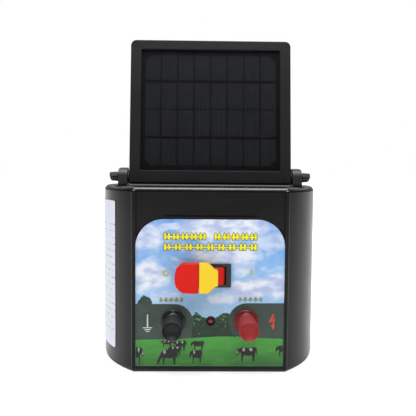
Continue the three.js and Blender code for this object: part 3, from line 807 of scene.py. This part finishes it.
def meadow_outline():
    """Grass up to a far edge that rises a little to the right."""
    foot = label_low.z + 0.1
    return [
        (LABEL_LEFT, foot), (LABEL_RIGHT, foot), (LABEL_RIGHT, BANK_FOOT + 1.4), (30, BANK_FOOT + 3.2),
        (10, BANK_FOOT + 3.5), (-12, BANK_FOOT + 2.2), (-36, BANK_FOOT + 0.6), (LABEL_LEFT, BANK_FOOT),
    ]


def tree_outline():
    return bumpy([
        (-19, 50), (-15.5, 53), (-12.5, 56.5), (-8.5, 53), (-3.5, 50.5), (0.5, 49.5), (5, 50.5), (9, 53.5),
        (14.5, 56), (19, 54), (22, 48), (26, 31.5), (0, 31), (-24, 30.5),
    ], 0.55, 1.0)


def bush_outline():
    return bumpy([
        (-66.4, 63), (-66, 66.5), (-63.5, 69), (-61, 72), (-57.5, 70.5), (-54.5, 68.5), (-53, 65.5),
        (-54, 63),
    ], 0.5, 4.0)


def bank_outlines():
    """The dark banks behind the two terminals, each with a round upper corner."""
    left = [(LABEL_LEFT, BANK_FOOT + 0.1), (-28, BANK_FOOT + 0.9), (-BANK_END - 1.5, BANK_FOOT + 2.0)]
    left += arc((-BANK_END - BANK_TURN, BANK_TOP - BANK_TURN), BANK_TURN, 0, 90, 16)
    left += [(LABEL_LEFT, BANK_TOP)]
    right = [(LABEL_RIGHT, BANK_TOP + 1.2)]
    right += arc((BANK_END + BANK_TURN + 1.6, BANK_TOP + 1.0 - BANK_TURN), BANK_TURN, 90, 180, 16)
    right += [(20.5, BANK_FOOT + 6.5), (27, BANK_FOOT + 3.0), (LABEL_RIGHT, BANK_FOOT + 1.3)]
    return [left, right]


def build_label_art():
    """The landscape, drawn from the back forwards."""
    bodies, patches = herd_shapes()
    leaves = foliage_print("printed_trees", (0.012, 0.034, 0.02), (0.12, 0.34, 0.13), 2.2, 34.0, 56.0)
    bush_leaves = foliage_print("printed_bush", (0.02, 0.045, 0.03), (0.2, 0.28, 0.17), 1.2, 58.0, 76.0)
    bank = ink("printed_bank", (0.047, 0.073, 0.057), (0.036, 0.057, 0.045), 16)
    cow_black = ink("printed_cow", (0.009, 0.009, 0.009), (0.024, 0.024, 0.022), 2)
    cow_white = ink("printed_patch", (0.56, 0.57, 0.5), (0.22, 0.23, 0.18), 1)
    layers = (
        # name, outlines, material, layer, reaches a hole
        ("print_trees", [tree_outline()], leaves, 1, True),
        ("print_bush", [bush_outline()], bush_leaves, 1, False),
        ("print_meadow", [meadow_outline()], meadow_print(), 2, True),
        ("print_banks", bank_outlines(), bank, 3, True),
        ("print_cows", bodies, cow_black, 3, False),
        ("print_patches", patches, cow_white, 4, False),
    )
    for name, outlines, material, layer, reaches_hole in layers:
        shape = print_shape(name, outlines, material, layer)
        if reaches_hole:
            for hole in front_holes():
                cut(shape, hole)


TITLE_ROWS = (
    # name, first board pair's x, pairs, distance between pairs, foot z
    ("title_left", -39.6, 5, 8.1, 123.2),
    ("title_right", 6.3, 5, 8.3, 123.2),
    ("title_low", -39.6, 9, 9.9, 113.6),
)
TITLE_BOARD = (2.1, 6.8)
TERMINAL_ROWS = (("band_earth", -45.1, 65.6), ("band_fence", 27.6, 66.3))
TERMINAL_BOARD = (2.4, 4.5)
OFF_MARK = (-40.5, 92.0)
ON_MARK = (37.8, 93.6)


def build_title():
    """Two lines of fence boards, in pairs, where the front has its title."""
    outline_green = ink("printed_outline", (0.012, 0.06, 0.03))
    yellow = ink("printed_yellow", (0.93, 0.86, 0.02), (0.8, 0.7, 0.02), 5)
    for name, first, pairs, pitch, z in TITLE_ROWS:
        boards = []
        for index in range(pairs):
            boards += [first + pitch * index - 1.7, first + pitch * index + 1.7]
        print_shape(f"{name}_edge", fence_row(boards, z, *TITLE_BOARD, 0.5), outline_green, 1)
        print_shape(name, fence_row(boards, z, *TITLE_BOARD), yellow, 2)


def build_switch_marks():
    """A ring for off, in two halves, and a bar for on."""
    olive = ink("printed_olive", (0.5, 0.5, 0.04), (0.38, 0.4, 0.05))
    ring_outer, ring_inner, bar_half, bar_reach = 3.0, 1.6, 0.85, 2.9
    halves = []
    for start in (0, 180):
        outer = arc(OFF_MARK, ring_outer, start, start + 180, 20)
        halves.append(outer + arc(OFF_MARK, ring_inner, start + 180, start, 20))
    print_shape("mark_off", halves, olive, 1)
    x, z = ON_MARK
    print_shape("mark_on", [strip((x - bar_half, z - bar_reach), (x + bar_half, z + bar_reach))], olive, 1)


def build_terminal_rows():
    """Short rows of fence boards where the front names its two terminals."""
    olive_pale = ink("printed_olive_pale", (0.3, 0.33, 0.16), (0.24, 0.26, 0.1))
    for name, first, z in TERMINAL_ROWS:
        boards = [first + 4.8 * index for index in range(5)]
        print_shape(name, fence_row(boards, z, *TERMINAL_BOARD), olive_pale, 1)


def build_earth_sign(x, z):
    """The usual earth sign: a stem over three bars that get shorter."""
    shapes = [strip((x - 0.6, z + 1.2), (x + 0.6, z + 13))]
    for index, half in enumerate((4.3, 2.9, 1.6)):
        level = z + 0.6 - 1.7 * index
        shapes.append(strip((x - half, level - 0.35), (x + half, level + 0.45)))
    print_shape("sign_earth", shapes, ink("printed_white", (0.68, 0.7, 0.7)), 4)


def build_bolt_sign(x, z):
    """The usual high-voltage arrow."""
    zigzag = [
        (x + 0.4, z + 14.2), (x - 3.2, z + 6.6), (x - 1.7, z + 6.2), (x + 0.9, z + 8.4), (x + 0.2, z + 3.4),
        (x - 0.9, z + 3.4), (x + 0.9, z - 0.6), (x + 2.4, z + 3.6), (x + 1.5, z + 3.6), (x + 2.6, z + 11.2),
        (x - 0.4, z + 8.6), (x + 1.9, z + 13.8),
    ]
    print_shape("sign_bolt", [zigzag], ink("printed_red", (0.72, 0.05, 0.03)), 4)


nodes["front_label"].data.materials.clear()
nodes["front_label"].data.materials.append(sky_print())
build_label_art()
build_title()
build_switch_marks()
build_terminal_rows()
build_earth_sign(-57.2, 40.8)
build_bolt_sign(57.6, 40.5)


# ---- sticker ----
def build_sticker():
    """A thin curved sheet on the left side, its corners rounded."""
    low, high = span("side_sticker")
    inner, thick = CASE_RADIUS + 0.35, 0.22
    front_angle, back_angle = math.radians(214), math.radians(158)
    height = high.z - low.z
    length = inner * (front_angle - back_angle)
    corner, columns, rows = 1.6, 96, 24
    mesh = bmesh.new()
    layers = []
    for reach in (inner, inner + thick):
        grid = []
        for column in range(columns + 1):
            along = length * column / columns
            edge = min(along, length - along)
            trim = corner - math.sqrt(max(0.0, corner ** 2 - (corner - edge) ** 2)) if edge < corner else 0.0
            angle = front_angle - along / inner
            x, y = reach * math.cos(angle), reach * math.sin(angle)
            line = []
            for row in range(rows + 1):
                z = low.z + trim + (height - 2 * trim) * row / rows
                line.append(mesh.verts.new(place("z", x, y, z)))
            grid.append(line)
        layers.append(grid)
    rims = []
    for grid in layers:
        for line, after in zip(grid, grid[1:]):
            for row in range(rows):
                mesh.faces.new((line[row], after[row], after[row + 1], line[row + 1]))
        rim = [line[0] for line in grid] + grid[-1][1:]
        rims.append(rim + [line[-1] for line in reversed(grid[:-1])] + grid[0][-2:0:-1])
    walls(mesh, *rims)
    return smooth(from_mesh("sticker", mesh), 60)


piece(build_sticker(), "case", sticker_print(), "sticker", "side_sticker")


# ---- switch ----
key_low, key_high = span("safety_key")
grip_low, grip_high = span("switch_grip")
pin_low, pin_high = span("switch_pin")
PIVOT = ((pin_low.x + pin_high.x) / 2, (pin_low.y + pin_high.y) / 2)
ARM_LEFT, ARM_HALF, ARM_BACK = -8.2, 6.0, -86.6
TONGUE_LEFT, TONGUE_HALF, TONGUE_BACK = -25.0, 4.0, -91.8
LEVER_FRONT = -94.5
ROOT_RADIUS, ROOT_HALF, PIN_BORE = 7.8, 7.8, 1.5
SLACK = 0.3
red_plastic = moulded("red_plastic", (0.68, 0.014, 0.008), 0.45, 0.12, grain=0.7, depth=0.004, variety=0.05)
yellow_plastic = moulded(
    "yellow_plastic", (0.92, 0.63, 0.03), 0.45, 0.14, grain=0.7, depth=0.004, variety=0.04
)
switch_black = moulded("switch_black", (0.016, 0.016, 0.017), roughness=0.42, specular=0.4)


def mirrored(upper):
    """The lower half of an outline, in the order that closes it."""
    return [(x, 2 * SWITCH_Z - z) for x, z in reversed(upper)]


def crowned(name, outline, low, high, rounding):
    """A paddle piece: the outline drawn towards the viewer, its front and back edges well rounded."""
    return apply_modifiers(soften(prism(name, outline, "y", low, high), rounding, 5, 50))


def lever_space():
    """Room for the lever's arm, tongue and root inside the pieces that slide over them."""
    front = LEVER_FRONT - SLACK
    arm = prism("arm_space", band(ARM_LEFT - SLACK, 16, ARM_HALF + SLACK), "y", front, -80)
    tongue_outline = band(TONGUE_LEFT - SLACK, 0, TONGUE_HALF + SLACK)
    tongue = prism("tongue_space", tongue_outline, "y", front, TONGUE_BACK + SLACK)
    root = prism("root_space", circle(PIVOT, ROOT_RADIUS + SLACK, 60), "z", 0, 200)
    return join(join(arm, tongue), root)


def build_key():
    """The red tip: shoulders rounded, then a small step before the slightly domed end."""
    z, half, right, tip = SWITCH_Z, key_high.z - SWITCH_Z, key_high.x, key_low.x
    shoulder, step_x, step_half = right - 11.0, tip + 3.0, 9.7
    upper = [(right, z + half), (shoulder, z + half)]
    upper += curve(upper[-1], (step_x + 2.6, z + half - 0.2), (step_x, z + step_half))
    upper += [(step_x - 0.9, z + step_half - 1.0)]
    upper += curve(upper[-1], (tip + 1.0, z + step_half - 1.6), (tip + 0.9, z + step_half - 3.4), 4)
    end = curve(upper[-1], (tip - 0.9, z), (tip + 0.9, z - step_half + 3.4), 14)
    solid = crowned("key_red", upper + end[:-1] + mirrored(upper), key_low.y, key_high.y, 1.3)
    return smooth(cut(solid, lever_space()))


def build_grip():
    """The yellow middle: square at the key, then tapering to a short neck."""
    z, half, left, right = SWITCH_Z, grip_high.z - SWITCH_Z, grip_low.x, grip_high.x
    neck_half, neck_x = 7.2, right - 2.3
    upper = [(left, z + half), (left + 6.4, z + half)]
    upper += curve(upper[-1], (left + 8.6, z + half - 0.1), (left + 10.0, z + half - 1.9), 6)
    upper += [(neck_x - 1.0, z + neck_half + 1.0)]
    upper += curve(upper[-1], (neck_x, z + neck_half), (neck_x + 1.2, z + neck_half), 5)
    upper += [(right, z + neck_half)]
    solid = crowned("grip_yellow", upper + mirrored(upper), grip_low.y, grip_high.y, 1.1)
    return smooth(cut(solid, lever_space()))


def build_lever():
    """A round root on the pin, an arm, and the thin tongue that the red tip slides on."""
    low, high = SWITCH_Z - ROOT_HALF, SWITCH_Z + ROOT_HALF
    root = prism("lever_red", circle(PIVOT, ROOT_RADIUS, 120), "z", low, high)
    apply_modifiers(soften(root, 0.9, 4, 50))
    arm = prism("arm", band(ARM_LEFT, PIVOT[0] + 1, ARM_HALF), "y", LEVER_FRONT, ARM_BACK)
    tongue = prism("tongue", band(TONGUE_LEFT, 0, TONGUE_HALF), "y", LEVER_FRONT, TONGUE_BACK)
    root = join(join(root, arm), tongue)
    return smooth(bore(root, circle(PIVOT, PIN_BORE), "z", 0, 200))


piece(build_key(), "key", red_plastic, "key_red", "safety_key")
piece(build_grip(), "lever", yellow_plastic, "grip_yellow", "switch_grip")
piece(build_lever(), "lever", red_plastic, "lever_red", "switch_lever")


# ---- terminals ----
STUD_BORE = 3.3
STUD_HOLE_END = -103.0


def build_collar(name, node):
    """Round flange under a hexagon with chamfered corners."""
    low, high = span(node)
    centre = axis_of(node)
    flange = high.x - centre[0]
    seat, face, inside = LABEL_FRONT - 0.3, low.y, high.y
    neck, corners = 4.9, 10.5
    solid = turned(name, [
        (STUD_BORE, inside), (neck, inside), (neck, seat), (flange - 0.4, seat), (flange, seat - 0.4),
        (flange, seat - 1.5), (flange - 0.9, seat - 2.2), (STUD_BORE, seat - 2.2),
    ], centre)
    hexagon = prism("hexagon", circle(centre, corners, 6, 30), "y", face, seat - 1.5)
    chamfer = turned("chamfer", [
        (0, face), (corners - 2.1, face), (corners - 1.2, face + 0.7), (corners + 0.6, seat - 2.0),
        (corners + 0.6, seat), (0, seat),
    ], centre)
    hexagon = combine(hexagon, chamfer, "INTERSECT")
    bore(hexagon, circle(centre, STUD_BORE), "y", face - 5, seat + 5)
    soften(hexagon, 0.45, 3, 20)
    apply_modifiers(hexagon)
    return smooth(join(solid, hexagon), 40)


def build_knob(name, node):
    """A plain round cap, its face deeply dished inside a thin rounded rim."""
    low, high = span(node)
    centre = axis_of(node)
    radius, face, back = high.x - centre[0], low.y, high.y
    dish, rim, bowl = 4.6, 0.5, radius - 0.9
    profile = [(0, STUD_HOLE_END), (STUD_BORE, STUD_HOLE_END), (STUD_BORE, back)]
    profile += [(radius - rim, back), (radius, back - rim), (radius, face + rim)]
    profile += arc((radius - rim, face + rim), rim, -15, -90, 5)
    profile += arc((0, face), bowl, 6, 84, 13, rise=dish) + [(0, face + dish)]
    return smooth(turned(name, profile, centre), 40)


collar_black = moulded("collar_black", (0.009, 0.009, 0.01), roughness=0.3, specular=0.35)
knob_black = moulded("knob_black", (0.019, 0.019, 0.02), roughness=0.5, specular=0.2)
collar_red = moulded("collar_red", (0.19, 0.011, 0.013), roughness=0.3, specular=0.3, variety=0.08)
knob_red = moulded("knob_red", (0.35, 0.032, 0.034), roughness=0.5, specular=0.2, variety=0.08)
for end, collar_paint, knob_paint in (("earth", collar_black, knob_black), ("fence", collar_red, knob_red)):
    collar, knob = f"{end}_collar", f"{end}_knob"
    piece(build_collar(f"{end}_base", collar), "case", collar_paint, collar, collar)
    piece(build_knob(f"{end}_cap", knob), knob, knob_paint, knob, knob)


# ---- indicator lamp ----
def build_lamp():
    """A short lens with a domed face."""
    low, high = span("lamp_lens")
    centre = axis_of("lamp_lens")
    radius, rise = high.x - centre[0], 1.6
    dome = [(0, high.y), (radius, high.y), (radius, low.y + rise)]
    dome += arc((0, low.y + rise), radius, -10, -80, 7, rise=rise) + [(0, low.y)]
    return smooth(turned("lamp_dome", dome, centre, 64), 50)


lamp_red = moulded("lamp_red", (0.16, 0.012, 0.016), roughness=0.15, variety=0.3)
piece(build_lamp(), "case", lamp_red, "lamp_red", "lamp_lens")


# ---- solar panel, built upright about the hinge axis and then leaned back like its frame ----
PANEL_LEAN = 7.4
PANEL_HALF = 78.4
PANEL_TOP = 134.0
PANEL_THICK = 15.0
PANEL_CORNER = 5.5
# half width, low and high edge
WINDOW = (67.7, 5.5, 124.5)
BAY = (71.7, 5.0, 129.5)
BAY_CORNER = 1.2
SCREW_SOCKET = 4.3
BACKING_FRONT, BACKING_BACK = -4.4, -3.6
CELL_FRONT, CELL_BACK = -4.65, -4.38


def lean_back(mesh_object):
    """From the panel's upright place about the axis to where it rests."""
    turn = Matrix.Rotation(math.radians(-PANEL_LEAN), 4, "X")
    mesh_object.data.transform(Matrix.Translation((0, HINGE_Y * MM, HINGE_Z * MM)) @ turn)
    return mesh_object


def build_panel_frame():
    """A shallow tray, round behind its foot, with a window whose edge is chamfered."""
    half, edge, chamfer = PANEL_THICK / 2, 2.0, 0.8
    side = [(half, PANEL_TOP), (-half, PANEL_TOP)]
    side += arc((-half + edge, -half + edge), edge, 180, 270, 8) + arc((0, 0), half, 270, 360, 24)
    frame_solid = prism("panel_rim", side, "x", -PANEL_HALF, PANEL_HALF)
    face = prism("face", arch(PANEL_HALF, -30, PANEL_TOP, PANEL_CORNER, 12), "y", -20, 20)
    frame_solid = combine(frame_solid, face, "INTERSECT")
    soften(frame_solid, 1.1, 4, 40)
    apply_modifiers(frame_solid)
    window_half, window_low, window_high = WINDOW
    rings = []
    for y, spread in ((-20, chamfer), (-half, chamfer), (-half + chamfer, 0), (0, 0)):
        low, high, corner = window_low - spread, window_high + spread, BAY_CORNER + spread
        opening = rounded_box(window_half + spread, low, high, corner)
        rings.append(ring("y", opening, y))
    cut(frame_solid, from_rings("window", rings))
    bore(frame_solid, rounded_box(*BAY, BAY_CORNER), "y", -half + 0.9, 20)
    for side in (-1, 1):
        ends = sorted((side * (PANEL_HALF - 14.3), side * 100))
        bore(frame_solid, circle((0, 0), SCREW_SOCKET), "x", *ends)
    weld(frame_solid)
    soften(frame_solid, 0.3, 2, 60)
    return smooth(lean_back(frame_solid))


def build_backing():
    """The dark sheet behind the cells."""
    half, low, high = BAY
    outline = rounded_box(half - 0.3, low + 0.3, high - 0.3, 1.0)
    return smooth(lean_back(prism("panel_backing", outline, "y", BACKING_FRONT, BACKING_BACK)))


CELL_ROWS = ((95.2, 119.6), (66.4, 92.1), (39.6, 65.4), (10.8, 36.6))
CELL_COLUMNS = 8
CELL_PITCH = 16.15
CELL_WIDTH = 14.5
CELL_CORNER = 5.5


def build_cells():
    """Thin cells. Those at the corners of the array have their outer corner cut off."""
    last_row, last_column = len(CELL_ROWS) - 1, CELL_COLUMNS - 1
    outer_corners = {(0, 0): 3, (0, last_column): 2, (last_row, 0): 0, (last_row, last_column): 1}
    mesh = bmesh.new()
    for row, (low, high) in enumerate(CELL_ROWS):
        for column in range(CELL_COLUMNS):
            middle = (column - last_column / 2) * CELL_PITCH
            left, right = middle - CELL_WIDTH / 2, middle + CELL_WIDTH / 2
            outline = strip((left, low), (right, high))
            corner = outer_corners.get((row, column))
            if corner is not None:
                u, v = outline[corner]
                pair = [
                    (u, v + math.copysign(CELL_CORNER, (low + high) / 2 - v)),
                    (u + math.copysign(CELL_CORNER, middle - u), v),
                ]
                if corner in (1, 3):
                    pair.reverse()
                outline[corner:corner + 1] = pair
            plate(mesh, outline, CELL_FRONT, CELL_BACK)
    return lean_back(from_mesh("panel_silicon", mesh))


panel_color = (0.0152, 0.0152, 0.0162)
panel_black = moulded("panel_black", panel_color, 0.55, specular=0.05, grain=1.1, depth=0.02, variety=0.25)
backing_black = moulded("panel_backing", (0.0055, 0.0055, 0.0059), roughness=0.5, specular=0.03)
piece(build_panel_frame(), "panel", panel_black, "panel_black", "panel_frame")
piece(build_backing(), "panel", backing_black, "cells", "panel_cells")
piece(build_cells(), "panel", cell_silicon(), "cells")


# ---- thumbscrews ----
WING_TILT = 76
SHANK_RADIUS = 2.3


def build_thumbscrew(name, side):
    """A tapered hub with two blunt wings, on a plain shank that reaches into the panel."""
    start, length = EAR_OUTER + 0.3, 8.3
    end = start + length
    rings = []
    for along, radius in ((start, 3.9), (start + 0.3, 4.2), (end - 0.6, 3.2), (end, 2.6)):
        rings.append(ring("x", circle((0, 0), radius, 60), side * along))
    screw = from_rings(name, rings)
    blade = [(start, -8), (end - 1.5, -6.6)] + curve((end - 1.5, -6.6), (end, -6.2), (end, -4.8), 6)
    blade += [(end, 4.8)] + curve((end, 4.8), (end, 6.2), (end - 1.5, 6.6), 6) + [(start, 8)]
    wings = prism("wings", [(side * u, v) for u, v in blade], "y", -2.3, 2.3)
    soften(wings, 0.8, 4, 30)
    apply_modifiers(wings)
    wings.data.transform(Matrix.Rotation(math.radians(WING_TILT), 4, "X"))
    screw = join(screw, wings)
    ends = sorted((side * (PANEL_HALF - 11), side * (start + 1)))
    screw = join(screw, prism("shank", circle((0, 0), SHANK_RADIUS), "x", *ends))
    soften(screw, 0.35, 2, 40)
    return smooth(lean_back(screw))


thumb_black = moulded("thumb_black", (0.017, 0.017, 0.018), roughness=0.45, specular=0.4)
for hand, sign in (("left", -1), ("right", 1)):
    thumbscrew = f"thumbscrew_{hand}"
    piece(build_thumbscrew(f"wing_screw_{hand}", sign), thumbscrew, thumb_black, "thumbscrew", thumbscrew)


# ---- finishes for the parts kept as they were drawn ----
lamp_black = moulded("lamp_black", (0.006, 0.006, 0.0065), roughness=0.3, specular=0.45)
lead_red = moulded("lead_red", (0.5, 0.02, 0.015), roughness=0.45)
ferrite = moulded("ferrite", (0.04, 0.036, 0.032), roughness=0.6, grain=0.4, depth=0.02, variety=0.3)
parts_black = moulded("parts_black", (0.016, 0.016, 0.016), roughness=0.4)
RUBBER_PARTS = ("seam_gasket", "cable_grommet", "panel_gland")
RUBBER_PARTS += ("friction_washer_left", "friction_washer_right")
STEEL_PARTS = numbered("base_screw", 4) + numbered("case_screw", 4) + numbered("switch_blade", 2)
STEEL_PARTS += numbered("battery_tab", 2) + ("switch_pin", "battery_strap")
STEEL_PARTS += tuple(f"{end}_{part}" for end in ("earth", "fence") for part in ("stud", "washer", "nut"))
FINISHES = (
    (rubber_black, RUBBER_PARTS),
    (base_black, ("base_plate",)),
    (switch_black, ("switch_housing",)),
    (lamp_black, ("lamp_bezel",)),
    (steel, STEEL_PARTS),
    (brass, ("hinge_insert_left", "hinge_insert_right")),
    (circuit(), ("circuit_board",)),
    (ferrite, ("inverter_transformer",)),
    (parts_black, ("thyristor", "battery_lead_black")),
    (clear_cover("fuse_glass", (0.6, 0.62, 0.64), 0.5, 0.1), ("fuse",)),
    (laminated(), ("pulse_core",)),
    (wound(), ("pulse_coil",)),
    (moulded("capacitor_blue", (0.02, 0.05, 0.2), roughness=0.3), ("storage_capacitor",)),
    (moulded("battery_grey", (0.03, 0.03, 0.04), roughness=0.55), ("battery",)),
    (lead_red, ("battery_lead_red", "fence_lead")),
    (moulded("lead_green", (0.03, 0.25, 0.06), roughness=0.45), ("earth_lead",)),
    (moulded("panel_cover", (0.02, 0.02, 0.022), roughness=0.5), ("panel_back",)),
    (clear_cover("panel_glass", (0.012, 0.013, 0.016), 0.08, 0.2, specular=0.3), ("panel_glass",)),
)
for finish, names in FINISHES:
    for name in names:
        nodes[name].data.materials.clear()
        nodes[name].data.materials.append(finish)
EDGE_WIDTHS = {
    "switch_housing": 0.5, "base_plate": 0.25, "battery": 1.0, "panel_back": 0.4, "lamp_bezel": 0.15,
    "cable_grommet": 0.3,
}
for name, width in EDGE_WIDTHS.items():
    soften(nodes[name], width, 3)
    smooth(nodes[name])


# ---- floor, light and camera, their lengths in metres ----
WORLD_FRONT = 0.1
WORLD_BACK = 0.3
WORLD_OVERHEAD = 1.25
WORLD_HIGH_BACK = 1.5
FLOOR_REACH = 12
KEY_LIGHT = dict(place_at=(-0.1, -0.75, 1.0), aim=(0, -0.05, 0.12), width=1.2, height=0.15, power=5.4)
EDGE_LIGHT = dict(place_at=(0, -0.15, 0.62), aim=(0, -0.08, 0.17), width=0.46, height=0.2, power=8.5)
CAMERA_PLACE = (-0.0114, -0.5821, 0.1857)
CAMERA_TURN = (math.pi / 2 - 0.067, -0.0085, -0.0172)
CAMERA_LENS = 47.78


def build_floor():
    """A pale matt floor that glows a little, so that it stays white round the object."""
    data = bpy.data.meshes.new("floor")
    corners = [(x, y, 0) for x, y in strip((-FLOOR_REACH, -FLOOR_REACH), (FLOOR_REACH, FLOOR_REACH))]
    data.from_pydata(corners, [], [(0, 1, 2, 3)])
    floor = link("floor", data)
    paint = Paint("floor_white", roughness=0.85, specular=0.1)
    paint.set(Base_Color=paint.mix(paint.noise(60, 3), (0.84, 0.84, 0.84), (0.87, 0.87, 0.87)),
              Emission_Color=(1, 1, 1), Emission_Strength=0.45)
    data.materials.append(paint.material)


def build_world():
    """White to the camera. For the object it is dark in front, grey behind, bright above."""
    world = bpy.data.worlds.new("studio")
    bpy.context.scene.world = world
    world.use_nodes = True
    sky = Nodes(world.node_tree, None)
    sky.place = sky.node("TexCoord").outputs["Generated"]
    axes = sky.axes()
    horizon = sky.ramp(axes["Y"], 0.05, 0.95, WORLD_FRONT, WORLD_BACK)
    overhead = sky.ramp(axes["Z"], 0.5, 0.85, 0, WORLD_OVERHEAD)
    high_back = sky.math(
        "MULTIPLY", sky.ramp(axes["Y"], 0.1, 0.6), sky.ramp(axes["Z"], 0.12, 0.5, 0, WORLD_HIGH_BACK)
    )
    for_object = sky.math("MAXIMUM", sky.math("MAXIMUM", horizon, overhead), high_back)
    strength = sky.node("Mix")
    to_camera = sky.node("LightPath").outputs["Is Camera Ray"]
    sky.fill(strength, Factor=to_camera, A=for_object, B=1.0)
    background = world.node_tree.nodes["Background"]
    sky.fill(background, Color=(1, 1, 1), Strength=strength.outputs["Result"])


def add_light(name, place_at, aim, width, height, power):
    """A soft rectangular light, in metres and watts."""
    data = bpy.data.lights.new(name, "AREA")
    data.shape = "RECTANGLE"
    data.size = width
    data.size_y = height
    data.energy = power
    light = link(name, data)
    light.location = place_at
    light.rotation_euler = (Vector(aim) - Vector(place_at)).to_track_quat("-Z", "Y").to_euler()
    return light


build_floor()
build_world()
add_light("key", **KEY_LIGHT)
edge_light = add_light("edge", **EDGE_LIGHT)
edge_light.visible_diffuse = False

camera_data = bpy.data.cameras.new("camera")
camera_data.lens = CAMERA_LENS
camera_data.sensor_width = 36
camera_data.clip_start = 0.01
camera = link("camera", camera_data)
camera.location = CAMERA_PLACE
camera.rotation_euler = CAMERA_TURN
bpy.context.scene.camera = camera
bpy.context.scene.view_settings.view_transform = "Standard"
